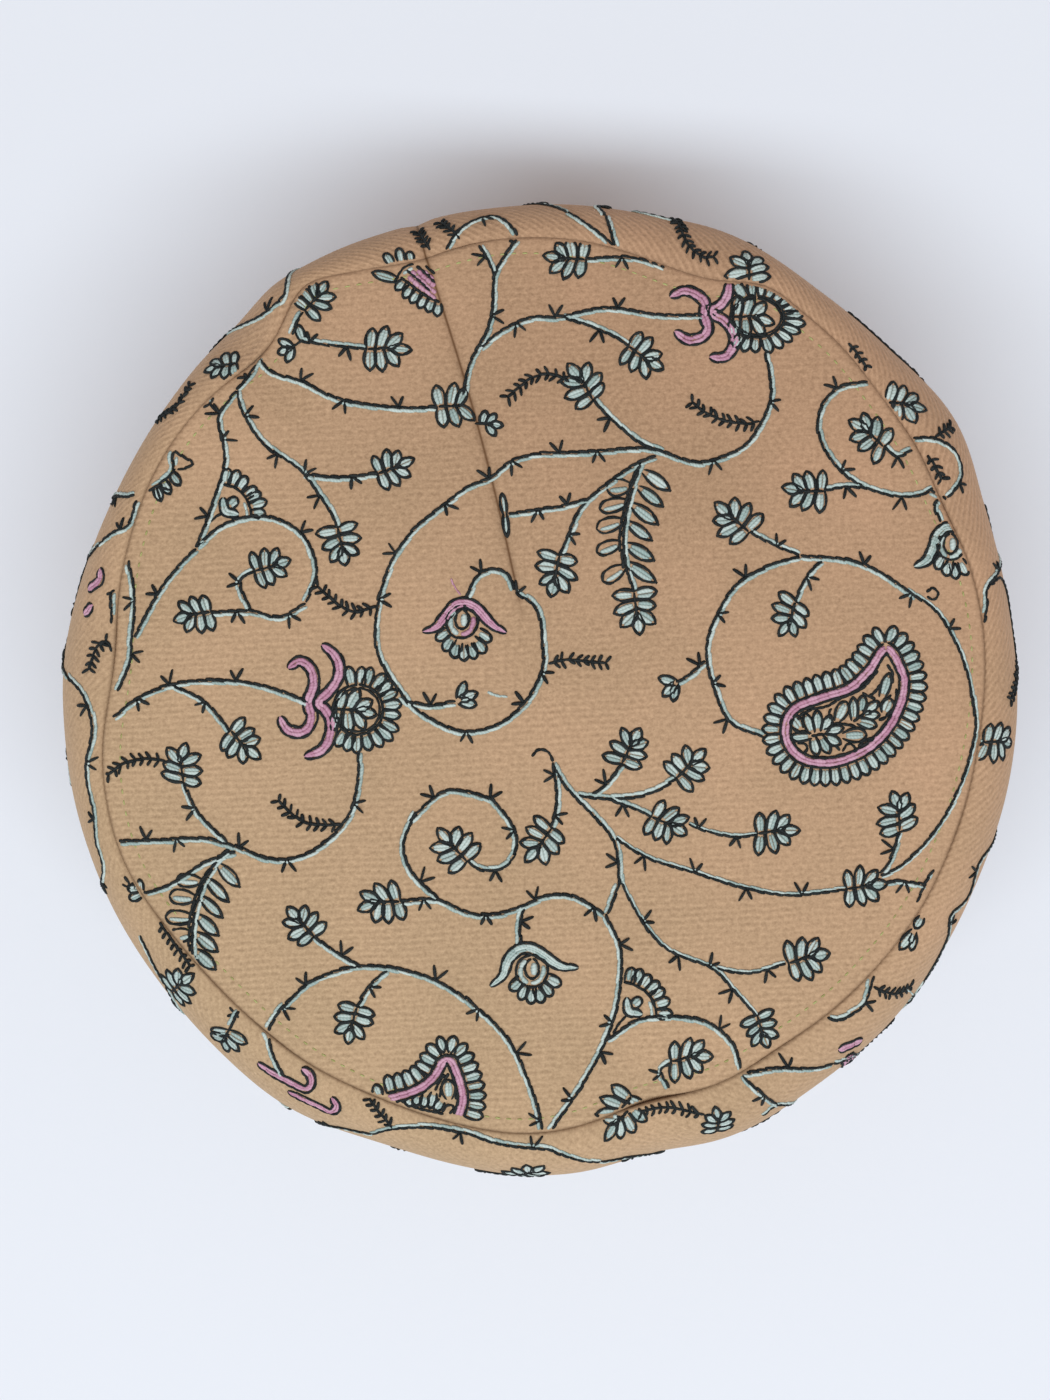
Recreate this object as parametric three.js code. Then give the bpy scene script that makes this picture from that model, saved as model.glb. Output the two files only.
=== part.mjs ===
// A round embroidered cap of woven wool: a flat, slightly domed crown sewn to an upright side band.
// Millimetres, +Z up. The cap stands on its rim, with the origin below the middle of the crown.
// A bearing is a compass angle seen from above: 0 degrees at +Y, which is the back, and 90 at +X.
import * as THREE from "three";

// Driving sizes
const CAP_HEIGHT = 84; // middle of the crown above the rim
const CLOTH = 2; // thickness of the wool with its backing
const SEAM_HEIGHT = 79.5; // crown seam above the rim, where the seam has its mean radius
const SEAM_RADIUS = 84.2; // mean radius of the crown seam
const SEAM_FALL = 0.4; // how much lower the seam lies for each millimetre further out
const SEAM_GAP = 0.3; // between the crown's edge and the band's edge
const SHOULDER_DROP = 18; // from the seam down to where the band is widest
const WIDEST_RADIUS = 94.8; // mean radius there
const RIM_RADIUS = 92.5; // mean outer radius of the rim, for a head of about 57 cm
const RIM_FOLLOWS = 0.3; // share of the shoulder's dents that still shows at the rim
const DOME_POWER = 3; // a higher power keeps the crown flatter and rounds it nearer the seam

// The cloth turns down into a seam over this width, by this depth
const ROLL_WIDTH = 2.2;
const ROLL_DEPTH = 0.9;

// A dart takes up the crown's cloth from the back edge to near the middle, and the band's ends
// are joined in line with it
const BACK_SEAM_BEARING = 345;
const DART_TIP_RADIUS = 13;
const DART_FADE = 14; // the dart's crease deepens over this length from its tip
const CREASE_DEPTH = 0.7;
const CREASE_WIDTH = 2.4;

// One row for each section of the soft shoulder: the radius of the crown seam, which wanders in and
// out, and of the band where it is widest, with its dents and swells
const SECTIONS = [
  { bearing: 0, seam: 86.5, widest: 95.7 },
  { bearing: 12, seam: 84.9, widest: 96.2 },
  { bearing: 21, seam: 84.0, widest: 97.8 },
  { bearing: 37, seam: 87.3, widest: 96.1 },
  { bearing: 48, seam: 85.8, widest: 96.2 },
  { bearing: 57, seam: 84.8, widest: 97.3 },
  { bearing: 67, seam: 84.4, widest: 95.0 },
  { bearing: 78, seam: 85.0, widest: 93.5 },
  { bearing: 98, seam: 83.6, widest: 94.2 },
  { bearing: 122, seam: 83.0, widest: 93.9 },
  { bearing: 146, seam: 81.6, widest: 95.1 },
  { bearing: 157, seam: 81.8, widest: 95.6 },
  { bearing: 166, seam: 80.8, widest: 94.0 },
  { bearing: 181, seam: 84.3, widest: 95.9 },
  { bearing: 200, seam: 83.5, widest: 94.4 },
  { bearing: 213, seam: 83.7, widest: 95.8 },
  { bearing: 230, seam: 83.6, widest: 95.2 },
  { bearing: 251, seam: 86.1, widest: 94.7 },
  { bearing: 262, seam: 84.3, widest: 94.4 },
  { bearing: 273, seam: 81.5, widest: 94.2 },
  { bearing: 287, seam: 83.1, widest: 92.3 },
  { bearing: 303, seam: 84.8, widest: 92.7 },
  { bearing: 323, seam: 83.9, widest: 94.6 },
  { bearing: 332, seam: 88.0, widest: 95.6 },
  { bearing: 342, seam: 85.4, widest: 95.3 },
];

// Where the meshes have their rings, as shares of the way from the middle to the seam, of the
// shoulder's quarter turn, and of the way from the widest ring to the rim
const CROWN_TOP_RINGS = [0, 0.1, 0.25, 0.42, 0.58, 0.72, 0.84, 0.93, 0.974, 0.988, 1];
const CROWN_UNDER_RINGS = [0, 0.25, 0.5, 0.72, 0.88, 1];
const SHOULDER_RINGS = [0, 0.09, 0.2, 0.34, 0.5, 0.67, 0.84];
const WALL_RINGS = [0, 0.18, 0.38, 0.6, 0.8, 1];
const SPOKES = 96; // a multiple of 24, so that one spoke lies in the back seam

const woolTwill = new THREE.MeshStandardMaterial({ color: 0xc19d79, roughness: 0.92, metalness: 0 });

const degrees = THREE.MathUtils.radToDeg;
const quarterTurn = Math.PI / 2;

// The sections, carried round as one smooth closed curve
const turns = [-360, 0, 360].flatMap((turn) =>
  SECTIONS.map((row) => ({ ...row, bearing: row.bearing + turn })),
);
const sectionCurve = new THREE.CubicInterpolant(
  turns.map((row) => row.bearing),
  turns.flatMap((row) => [row.seam, row.widest]),
  2,
);

function sectionAt(bearing) {
  const [seam, widest] = sectionCurve.evaluate(bearing);
  return {
    seam,
    widest,
    seamHeight: SEAM_HEIGHT - SEAM_FALL * (seam - SEAM_RADIUS),
    rim: RIM_RADIUS + RIM_FOLLOWS * (widest - WIDEST_RADIUS),
  };
}

// How far the outer face sinks at a distance from a sewn edge
function seamRoll(distance) {
  const share = Math.max(0, 1 - distance / ROLL_WIDTH);
  return ROLL_DEPTH * share * share;
}

// How far the outer face sinks into the crease of the dart or of the band's joined ends
function backCrease(bearing, radius) {
  const off = THREE.MathUtils.euclideanModulo(bearing - BACK_SEAM_BEARING + 180, 360) - 180;
  const across = THREE.MathUtils.degToRad(off) * radius;
  return CREASE_DEPTH * Math.exp(-((across / CREASE_WIDTH) ** 2));
}

// The crown: share runs from 0 in the middle to 1 at the seam
function crownPoint(share, layer, bearing) {
  const { seam, seamHeight } = sectionAt(bearing);
  const edge = seam - SEAM_GAP / 2;
  const radius = share * edge;
  const middle = seamHeight + (CAP_HEIGHT - seamHeight) * (1 - share ** DOME_POWER);
  if (layer === 0) return { radius, height: middle - CLOTH };
  const fade = THREE.MathUtils.smoothstep(radius, DART_TIP_RADIUS, DART_TIP_RADIUS + DART_FADE);
  const sunk = seamRoll(edge - radius) + fade * backCrease(bearing, radius);
  return { radius, height: middle - sunk };
}

// The band's outer line: way runs from 0 at the seam to 1 where it is widest, a quarter of an
// ellipse, and on to 2 at the rim, which leans in
function bandLine(way, section) {
  const { seam, widest, seamHeight, rim } = section;
  const start = seam + SEAM_GAP / 2;
  if (way <= 1) {
    const turn = way * quarterTurn;
    return new THREE.Vector2(
      start + (widest - start) * Math.sin(turn),
      seamHeight - SHOULDER_DROP * (1 - Math.cos(turn)),
    );
  }
  const down = way - 1;
  return new THREE.Vector2(
    widest + (rim - widest) * down * down,
    (seamHeight - SHOULDER_DROP) * (1 - down),
  );
}

function bandPoint(way, layer, bearing) {
  const section = sectionAt(bearing);
  const line = bandLine(way, section);
  const step = 0.01;
  const along = bandLine(Math.min(2, way + step), section).sub(bandLine(Math.max(0, way - step), section));
  const outward = new THREE.Vector2(-along.y, along.x).normalize();
  const distance = line.distanceTo(bandLine(0, section));
  const sunk = seamRoll(distance) + backCrease(bearing, line.x);
  line.addScaledVector(outward, layer === 0 ? -CLOTH : -sunk);
  if (way === 0) line.x = section.seam + SEAM_GAP / 2; // the cut edge stays upright beside the crown
  if (way === 2) line.y = 0; // the rim is flat, so the cap stands on it
  return { radius: line.x, height: line.y };
}

// Turns a template whose x is a share or way and whose y is the layer, 0 inside and 1 outside, and
// then bends each vertex to its place at its own bearing
function bentLathe(template, point, shift = 0) {
  const turned = template.map(([way, layer]) => new THREE.Vector2(way + shift, layer));
  const geometry = new THREE.LatheGeometry(turned, SPOKES).rotateX(quarterTurn);
  const place = geometry.attributes.position;
  for (let i = 0; i < place.count; i++) {
    const angle = Math.atan2(place.getX(i), place.getY(i));
    const way = Math.hypot(place.getX(i), place.getY(i)) - shift;
    const rounded = Math.round(way * 1e4) / 1e4;
    const { radius, height } = point(rounded, Math.round(place.getZ(i)), degrees(angle));
    place.setXYZ(i, radius * Math.sin(angle), radius * Math.cos(angle), height);
  }
  geometry.computeVertexNormals();
  return geometry;
}

function crownTop() {
  const under = CROWN_UNDER_RINGS.map((share) => [share, 0]);
  const top = CROWN_TOP_RINGS.toReversed().map((share) => [share, 1]);
  const mesh = new THREE.Mesh(bentLathe([...under, ...top], crownPoint), woolTwill);
  mesh.name = "crown_top";
  return mesh;
}

function sideBand() {
  const ways = [...SHOULDER_RINGS, ...WALL_RINGS.map((share) => 1 + share)];
  const outside = ways.toReversed().map((way) => [way, 1]);
  const inside = ways.map((way) => [way, 0]);
  const template = [...inside, ...outside, inside[0]];
  const hub = 1; // keeps the template clear of the axis while it is turned
  const mesh = new THREE.Mesh(bentLathe(template, bandPoint, hub), woolTwill);
  mesh.name = "side_band";
  return mesh;
}

const cap = new THREE.Group();
cap.add(crownTop(), sideBand());
export default cap;
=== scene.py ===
# An embroidered round cap of camel wool twill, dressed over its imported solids.
# Cloth and stitches are worked out in millimetres and put into the meshes in metres, +Z up.
import bpy
import numpy as np
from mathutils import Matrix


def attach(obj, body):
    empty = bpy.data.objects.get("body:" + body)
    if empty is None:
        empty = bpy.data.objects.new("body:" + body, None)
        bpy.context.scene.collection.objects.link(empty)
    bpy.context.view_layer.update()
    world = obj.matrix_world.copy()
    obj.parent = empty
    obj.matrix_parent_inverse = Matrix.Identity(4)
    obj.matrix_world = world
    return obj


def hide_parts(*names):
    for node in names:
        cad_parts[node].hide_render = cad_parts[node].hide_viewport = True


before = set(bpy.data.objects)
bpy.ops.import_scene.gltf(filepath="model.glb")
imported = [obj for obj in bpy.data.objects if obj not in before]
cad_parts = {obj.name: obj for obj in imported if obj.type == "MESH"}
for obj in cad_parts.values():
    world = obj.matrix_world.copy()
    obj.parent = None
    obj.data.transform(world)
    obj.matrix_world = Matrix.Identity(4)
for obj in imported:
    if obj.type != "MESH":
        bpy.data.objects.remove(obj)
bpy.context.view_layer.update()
print("solids loaded:", ", ".join(sorted(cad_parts)))

toMetres = 0.001
fullTurn = 2 * np.pi
draws = np.random.default_rng(11)

# The camera looks straight down on the cap, with the back at the top of the picture
view = {
    "size": (1050, 1400),  # pixels
    "eye": (-3.2, -1.9, 479.0),
    "lens": 54.0,
    "film": 36.0,  # along the picture's long side
}


# Where a ray through each pixel meets a level plane: the eye plus the pixel's offset from the
# picture's middle, which grows with the depth below the eye
def throughPixel(pixels, height):
    eye = np.array(view["eye"])
    middle = np.array(view["size"]) / 2
    depth = np.asarray(eye[2] - height)[..., None]
    spread = view["film"] / view["lens"] / max(view["size"])
    return eye[:2] + (np.asarray(pixels, float) - middle) * [spread, -spread] * depth


# Bearing of a point, clockwise from the back as seen from above
def bearingOf(x, y):
    return np.arctan2(x, y) % fullTurn


# The shorter way round from one bearing to another
def turnFrom(start, bearing):
    return (bearing - start + np.pi) % fullTurn - np.pi


# Points round the middle: the radius times the sine and the cosine of the bearing
def roundMiddle(radius, bearing):
    return np.stack([radius * np.sin(bearing), radius * np.cos(bearing)], -1)


# One at zero, falling off on both sides as a bell of some width
def bell(off, width):
    return np.exp(-((off / width) ** 2))


# A share, held between none and all
def clipped(share):
    return np.clip(share, 0, 1)


# Vectors divided by their lengths
def unit(vectors):
    return vectors / np.linalg.norm(vectors, axis=-1, keepdims=True)


# How far a walk along points has come at each of them: the sum of the steps before it
def walkedAlong(points):
    steps = np.linalg.norm(np.diff(points, axis=-2), axis=-1)
    start = np.zeros((*steps.shape[:-1], 1))
    return np.concatenate([start, np.cumsum(steps, axis=-1)], axis=-1)


# The cap's own curves, read off its solids
capForm = {
    "spokes": 96,  # bearings at which the solids have their corners
    "harmonics": 22,  # detail kept in the curves
    "near": 0.05,  # corners this close to an edge or the floor lie on it
    "backSeam": np.radians(345),  # the dart and the band's joined ends
    "cloth": 2.0,
    "seamGap": 0.3,
    "solidRoll": 0.9,  # how far the solids turn down into the seam
    "rollWidth": 1.5,  # the cloth turns down over this width, by this depth
    "rollDepth": 0.2,
    "tuck": 0.14,  # the sewn edges reach this far into the gap
    "domePower": 3,
    "shoulderDrop": 18.0,
    "girth": 94.0,  # radius at which the band's length is measured
    "folds": [
        {"bearing": 329.5, "spread": 4, "out": 2.2},
        {"bearing": 29, "spread": 5, "out": 2.4},
    ],
}


# The radius, height and spoke of each corner of a solid
def cornersOf(nodeName):
    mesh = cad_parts[nodeName].data
    flat = np.empty(len(mesh.vertices) * 3, np.float32)
    mesh.vertices.foreach_get("co", flat)
    x, y, height = flat.reshape(-1, 3).astype(float).T / toMetres
    spoke = np.rint(bearingOf(x, y) / fullTurn * capForm["spokes"]).astype(int)
    return np.hypot(x, y), height, spoke % capForm["spokes"]


# The greatest value on each spoke
def greatest(values, spoke):
    best = np.full(capForm["spokes"], -np.inf)
    np.maximum.at(best, spoke, values)
    return best


# A closed smooth curve through equally spaced samples: their Fourier series, cut off at some harmonics.
# The sample in the back seam's crease is first replaced by the mean of its neighbours.
def closedCurve(samples):
    crease = round(capForm["backSeam"] / fullTurn * len(samples)) % len(samples)
    samples = samples.copy()
    samples[crease] = (samples[crease - 1] + samples[(crease + 1) % len(samples)]) / 2
    order = np.arange(1, capForm["harmonics"] + 1)
    terms = np.fft.rfft(samples) / len(samples)

    def at(bearing):
        phase = np.multiply.outer(np.asarray(bearing, float), order)
        waves = np.cos(phase) @ terms[order].real - np.sin(phase) @ terms[order].imag
        return terms[0].real + 2 * waves

    return at


# The crown's edge, pulled outward at its folds: the curve plus a bell in bearing for each
def pulledOut(curve):
    def at(bearing):
        radius = curve(bearing)
        for fold in capForm["folds"]:
            off = turnFrom(np.radians(fold["bearing"]), bearing)
            radius = radius + fold["out"] * bell(off, np.radians(fold["spread"]))
        return radius

    return at


# The crown's edge and its height, the widest ring and the rim, as curves in bearing
def readSolids():
    radius, height, spoke = cornersOf("crown_top")
    edge = greatest(radius, spoke)
    atEdge = radius > edge[spoke] - capForm["near"]
    edgeHeight = greatest(height[atEdge], spoke[atEdge])
    top = height.max()
    radius, height, spoke = cornersOf("side_band")
    atRim = height < capForm["near"]
    return {
        "edge": pulledOut(closedCurve(edge)),
        "seamHeight": closedCurve(edgeHeight + capForm["solidRoll"]),
        "widest": closedCurve(greatest(radius, spoke)),
        "rim": closedCurve(greatest(radius[atRim], spoke[atRim])),
        "top": top,
    }


cap = readSolids()
print("cap read: top at %.1f mm" % cap["top"])

# Soft puckers beside the crown seam: bearing and spread in degrees, lift and reach in millimetres
puckers = [
    {"bearing": 319, "spread": 3.5, "lift": -1.5, "reach": 12},
    {"bearing": 326, "spread": 3.0, "lift": 1.1, "reach": 14},
    {"bearing": 349, "spread": 4.0, "lift": 0.5, "reach": 12},
    {"bearing": 165, "spread": 4.0, "lift": -1.4, "reach": 12},
    {"bearing": 174, "spread": 4.0, "lift": 0.8, "reach": 12},
    {"bearing": 277, "spread": 5.0, "lift": -0.6, "reach": 10},
    {"bearing": 262, "spread": 5.0, "lift": 0.4, "reach": 9},
    {"bearing": 66, "spread": 4.0, "lift": -0.9, "reach": 10},
    {"bearing": 57, "spread": 4.0, "lift": 0.6, "reach": 9},
    {"bearing": 148, "spread": 4.0, "lift": -0.4, "reach": 8},
    {"bearing": 218, "spread": 4.0, "lift": -0.4, "reach": 8},
]
crownDetail = {
    "topstitchIn": 2.9,  # the ring of topstitches lies this far inside the crown's edge
    "topstitchSink": 0.22,
    "topstitchSpread": 0.9,
    "creaseDepth": 0.5,
    "creaseSpread": 1.9,
    "dartTip": 13.0,  # the dart ends this far from the middle
    "dartFade": 12.0,
    "dartLength": 73.0,
    "dartBow": 1.2,  # how far it bows to the right halfway
    "sway": (0.35, 0.22),  # heights of the slow and the quick waves in the cloth
    "slowSpan": (19, 23),
    "slowShift": (1.0, -0.4),
    "quickSpan": (11, 13),
    "swayPower": 6,  # the waves die out near the seam
}


# Lift at a place near the seam: a sum of bumps, each a bell in bearing and a bell in distance
def puckerLift(bearing, distance):
    lift = np.zeros(np.broadcast(bearing, distance).shape)
    for row in puckers:
        off = turnFrom(np.radians(row["bearing"]), bearing)
        lift = lift + row["lift"] * bell(off, np.radians(row["spread"])) * bell(distance, row["reach"])
    return lift


# How far a face turns down at a distance from its sewn edge: a parabola that ends at the roll's width
def rollDown(distance):
    return capForm["rollDepth"] * clipped(1 - distance / capForm["rollWidth"]) ** 2


# Depth of the crease along the back seam: a bell across it, moved aside by a bow
def creaseSink(bearing, radius, bow=0.0):
    aside = turnFrom(capForm["backSeam"], bearing) * radius - bow
    return crownDetail["creaseDepth"] * bell(aside, crownDetail["creaseSpread"])


# Waves in the crown's cloth: the product of two slow sines, and a quicker one on the slant
def crownSway(x, y):
    slow = np.sin(x / crownDetail["slowSpan"][0] + crownDetail["slowShift"][0])
    slow = slow * np.sin(y / crownDetail["slowSpan"][1] + crownDetail["slowShift"][1])
    quick = np.sin(x / crownDetail["quickSpan"][0] - y / crownDetail["quickSpan"][1])
    return crownDetail["sway"][0] * slow + crownDetail["sway"][1] * quick


# The crown's outer face over a point (x, y): the seam's height plus a dome that falls with a power of
# the share of the way out, less the roll, the dart's crease and the dimple under the topstitches
def crownHeight(x, y, plain=False):
    bearing = bearingOf(x, y)
    radius = np.hypot(x, y)
    edge = cap["edge"](bearing)
    low = cap["seamHeight"](bearing)
    share = clipped(radius / edge)
    dome = low + (cap["top"] - low) * (1 - share ** capForm["domePower"])
    if plain:
        return dome
    distance = np.maximum(edge - radius, 0)
    lift = puckerLift(bearing, distance) + crownSway(x, y) * (1 - share ** crownDetail["swayPower"])
    along = radius - crownDetail["dartTip"]
    bow = crownDetail["dartBow"] * np.sin(np.pi * clipped(along / crownDetail["dartLength"]))
    dart = clipped(along / crownDetail["dartFade"]) * creaseSink(bearing, radius, bow)
    dimple = bell(distance - crownDetail["topstitchIn"], crownDetail["topstitchSpread"])
    return dome + lift - rollDown(distance) - dart - crownDetail["topstitchSink"] * dimple


# A place on the flat crown as a point of its outer face
def crownCloth(place):
    x = place[..., 0]
    y = place[..., 1]
    return np.stack([x, y, crownHeight(x, y)], axis=-1)


# The band's shoulder is a quarter of an ellipse. A table turns the drop along it into its angle.
def shoulderTable(steps=181):
    bearings = np.linspace(0, fullTurn, steps)
    reach = (cap["widest"](bearings) - cap["edge"](bearings) - capForm["seamGap"]).mean()
    angle = np.linspace(0, np.pi / 2, steps)
    speed = np.hypot(reach * np.cos(angle), capForm["shoulderDrop"] * np.sin(angle))
    drop = np.concatenate([[0], np.cumsum((speed[1:] + speed[:-1]) / 2 * np.diff(angle))])
    return angle, drop


shoulderAngle, shoulderRun = shoulderTable()
roundTrip = np.linspace(0, fullTurn, capForm["spokes"] + 1)
wallRun = float(np.mean(cap["seamHeight"](roundTrip))) - capForm["shoulderDrop"]
bandDrop = shoulderRun[-1] + wallRun  # from the seam to the rim along the cloth
bandDetail = {
    "hemRise": 11.0,  # the turned hem above the rim
    "hemThick": 0.55,
    "hemStep": 1.5,  # the hem's upper edge rises over this drop
    "rimRound": 1.2,  # the rim's edge is rounded over this drop, by this depth
    "rimDepth": 0.8,
    "puckerStart": 3.0,  # puckers grow over this drop from the seam
    "puckerPace": 0.8,  # and fade more slowly than on the crown
    "swells": [  # waves round the band and down it, with their heights in millimetres
        {"round": 5, "down": 1.0, "phase": 1.3, "height": 0.8},
        {"round": 9, "down": 1.6, "phase": 0.2, "height": 0.7},
        {"round": 14, "down": 2.3, "phase": 2.1, "height": 0.45},
        {"round": 23, "down": 3.1, "phase": 4.0, "height": 0.22},
    ],
}
smallStep = 0.05  # millimetres, for slopes


# The band's plain outline: radius and height at a bearing and a drop from the seam, first a quarter of
# an ellipse out to the widest ring, then a parabola in to the rim
def bandOutline(bearing, drop):
    start = cap["edge"](bearing) + capForm["seamGap"] - capForm["tuck"]
    widest = cap["widest"](bearing)
    high = cap["seamHeight"](bearing)
    angle = np.interp(drop, shoulderRun, shoulderAngle)
    down = clipped((drop - shoulderRun[-1]) / wallRun)
    radius = start + (widest - start) * np.sin(angle) + (cap["rim"](bearing) - widest) * down ** 2
    shoulder = high - capForm["shoulderDrop"] * (1 - np.cos(angle))
    return radius, shoulder * (1 - down)


# How far the band's face lies out from its plain outline: a sum of sines for the swells, the puckers and
# a smooth step for the hem, less the roll, the join's crease and a parabola at the rim
def bandPush(bearing, drop, radius):
    down = clipped(drop / bandDrop)
    push = np.zeros_like(radius)
    for wave in bandDetail["swells"]:
        slow = np.sin(np.pi * down) ** 2 * np.sin(wave["down"] * np.pi * down + wave["phase"])
        push = push + wave["height"] * slow * np.sin(wave["round"] * bearing + 2 * wave["phase"])
    pucker = puckerLift(bearing, drop * bandDetail["puckerPace"])
    push = push + pucker * clipped(drop / bandDetail["puckerStart"])
    hem = clipped((drop - bandDrop + bandDetail["hemRise"]) / bandDetail["hemStep"])
    push = push + bandDetail["hemThick"] * hem * hem * (3 - 2 * hem)
    rim = clipped((drop - bandDrop) / bandDetail["rimRound"] + 1)
    return push - rollDown(drop) - creaseSink(bearing, radius) - bandDetail["rimDepth"] * rim ** 2


# A point of the band's outer face, or of a plain layer under it: the outline, pushed along its normal.
# The rim itself stays on the floor.
def bandPoint(bearing, drop, under=None):
    radius, height = bandOutline(bearing, drop)
    ahead = bandOutline(bearing, np.minimum(drop + smallStep, bandDrop))
    behind = bandOutline(bearing, np.maximum(drop - smallStep, 0))
    run = ahead[0] - behind[0]
    fall = ahead[1] - behind[1]
    size = np.hypot(run, fall)
    push = bandPush(bearing, drop, radius) if under is None else -under
    radius = radius - fall / size * push
    height = height + run / size * push * (drop < bandDrop - smallStep)
    return np.concatenate([roundMiddle(radius, bearing), np.maximum(height, 0)[..., None]], axis=-1)


# A place along and down the flat band as a point of its outer face
def bandCloth(place):
    return bandPoint(place[..., 0] / capForm["girth"], place[..., 1])


# Puts arrays into a new mesh: corners in millimetres, and faces as rows of three or four indices
def addPiece(name, corners, faceSets, attributes, uv=None):
    mesh = bpy.data.meshes.new(name)
    mesh.vertices.add(len(corners))
    mesh.vertices.foreach_set("co", (corners * toMetres).astype(np.float32).ravel())
    corner = np.concatenate([faces.ravel() for faces in faceSets]).astype(np.int32)
    sizes = np.concatenate([np.full(len(faces), faces.shape[1]) for faces in faceSets])
    starts = np.concatenate([[0], np.cumsum(sizes)[:-1]])
    mesh.loops.add(len(corner))
    mesh.loops.foreach_set("vertex_index", corner)
    mesh.polygons.add(len(sizes))
    mesh.polygons.foreach_set("loop_start", starts.astype(np.int32))
    mesh.update(calc_edges=True)
    mesh.polygons.foreach_set("use_smooth", np.ones(len(sizes), bool))
    for label, values in attributes.items():
        layer = mesh.attributes.new(label, "FLOAT", "POINT")
        layer.data.foreach_set("value", values.astype(np.float32).ravel())
    if uv is not None:
        layer = mesh.uv_layers.new(name="cloth")
        layer.data.foreach_set("uv", uv.astype(np.float32).ravel())
    piece = bpy.data.objects.new(name, mesh)
    bpy.context.scene.collection.objects.link(piece)
    return piece


# A turned surface: rows of points that go round once. Its rows either close on themselves, or begin and
# end in a pole. The map gives each row's and column's place on the flat cloth.
def turnedPiece(name, rows, clothMap, seamAway, closedRows):
    count, columns = rows.shape[:2]
    column = np.arange(columns)
    i, j = np.meshgrid(np.arange(count if closedRows else count - 1), column, indexing="ij")
    below = (i + 1) % count
    right = (j + 1) % columns
    quads = [(i, j), (i, right), (below, right), (below, j)]
    quads = np.stack([row * columns + place for row, place in quads], -1).reshape(-1, 4)
    corner = [(i, j), (i, j + 1), (below, j + 1), (below, j)]
    corner = np.stack([clothMap[row, place] for row, place in corner], -2).reshape(-1, 4, 2)
    points = rows.reshape(-1, 3)
    away = seamAway.reshape(-1)
    if closedRows:
        return addPiece(name, points, [quads], {"seamAway": away}, corner)
    pole = (count - 1) * columns
    inner = (quads >= columns).all(1) & (quads < pole).all(1)
    ring = column + columns
    last = column + pole - columns
    first = np.stack([np.zeros(columns, int), np.roll(ring, -1), ring], -1)
    end = np.stack([last, np.roll(last, -1), np.full(columns, pole)], -1)
    firstMap = np.stack([clothMap[0, :-1], clothMap[1, 1:], clothMap[1, :-1]], -2)
    endMap = np.stack([clothMap[-2, :-1], clothMap[-2, 1:], clothMap[-1, :-1]], -2)
    uv = np.concatenate([part.reshape(-1, 2) for part in (corner[inner], firstMap, endMap)])
    used = np.r_[0, np.arange(columns, pole), pole]
    new = np.zeros(len(points), int)
    new[used] = np.arange(len(used))
    faces = [new[quads[inner]], new[np.concatenate([first, end])]]
    return addPiece(name, points[used], faces, {"seamAway": away[used]}, uv)


# One node tree, with nodes added by kind, settings and sockets
class Finish:
    def __init__(self, name):
        self.material = bpy.data.materials.new(name)
        self.material.use_nodes = True
        self.tree = self.material.node_tree
        self.shader = self.tree.nodes["Principled BSDF"]

    def node(self, kind, settings=None, sockets=None, out=0):
        made = self.tree.nodes.new(kind)
        for label, value in (settings or {}).items():
            setattr(made, label, value)
        for label, value in (sockets or {}).items():
            self.plug(made.inputs[label], value)
        return Wire(self, made.outputs[out])

    def plug(self, socket, value):
        if isinstance(value, Wire):
            self.tree.links.new(value.socket, socket)
        elif isinstance(value, tuple) and socket.type == "RGBA":
            socket.default_value = (*value, 1)
        else:
            socket.default_value = value

    def set(self, **sockets):
        for label, value in sockets.items():
            self.plug(self.shader.inputs[label.replace("_", " ")], value)

    def attribute(self, label):
        return self.node("ShaderNodeAttribute", {"attribute_name": label}, out="Fac")

    def noise(self, place, scale, detail):
        sockets = {"Vector": place, "Scale": scale, "Detail": detail}
        return self.node("ShaderNodeTexNoise", None, sockets) - 0.5

    # A colour between two others by a share, or their product
    def blend(self, share, low, high, how="MIX"):
        settings = {"data_type": "RGBA", "blend_type": how, "clamp_factor": True}
        return self.node("ShaderNodeMix", settings, {0: share, 6: low, 7: high}, out=2)

    def bump(self, height, depth, strength):
        sockets = {"Height": height, "Distance": depth, "Strength": strength}
        return self.node("ShaderNodeBump", None, sockets)

    # The first two parts of a vector
    def split(self, vector):
        first = self.node("ShaderNodeSeparateXYZ", None, {"Vector": vector})
        return first, Wire(self, first.socket.node.outputs[1])


# A socket's value: arithmetic on it adds Math nodes
class Wire:
    def __init__(self, finish, socket):
        self.finish = finish
        self.socket = socket

    def math(self, operation, *others):
        sockets = dict(enumerate((self, *others)))
        return self.finish.node("ShaderNodeMath", {"operation": operation}, sockets)

    def __add__(self, other):
        return self.math("ADD", other)

    def __sub__(self, other):
        return self.math("SUBTRACT", other)

    def __mul__(self, other):
        return self.math("MULTIPLY", other)

    def __truediv__(self, other):
        return self.math("DIVIDE", other)

    def __rsub__(self, other):
        return self.finish.node("ShaderNodeMath", {"operation": "SUBTRACT"}, {0: other, 1: self})

    __radd__ = __add__
    __rmul__ = __mul__

    def sine(self):
        return (self * fullTurn).math("SINE")

    def clamped(self):
        settings = {"operation": "ADD", "use_clamp": True}
        return self.finish.node("ShaderNodeMath", settings, {0: self, 1: 0.0})

    # One at zero, falling off as a bell of some width
    def bell(self, width):
        scaled = self / width
        return (scaled * scaled * -1.0).math("EXPONENT")


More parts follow.
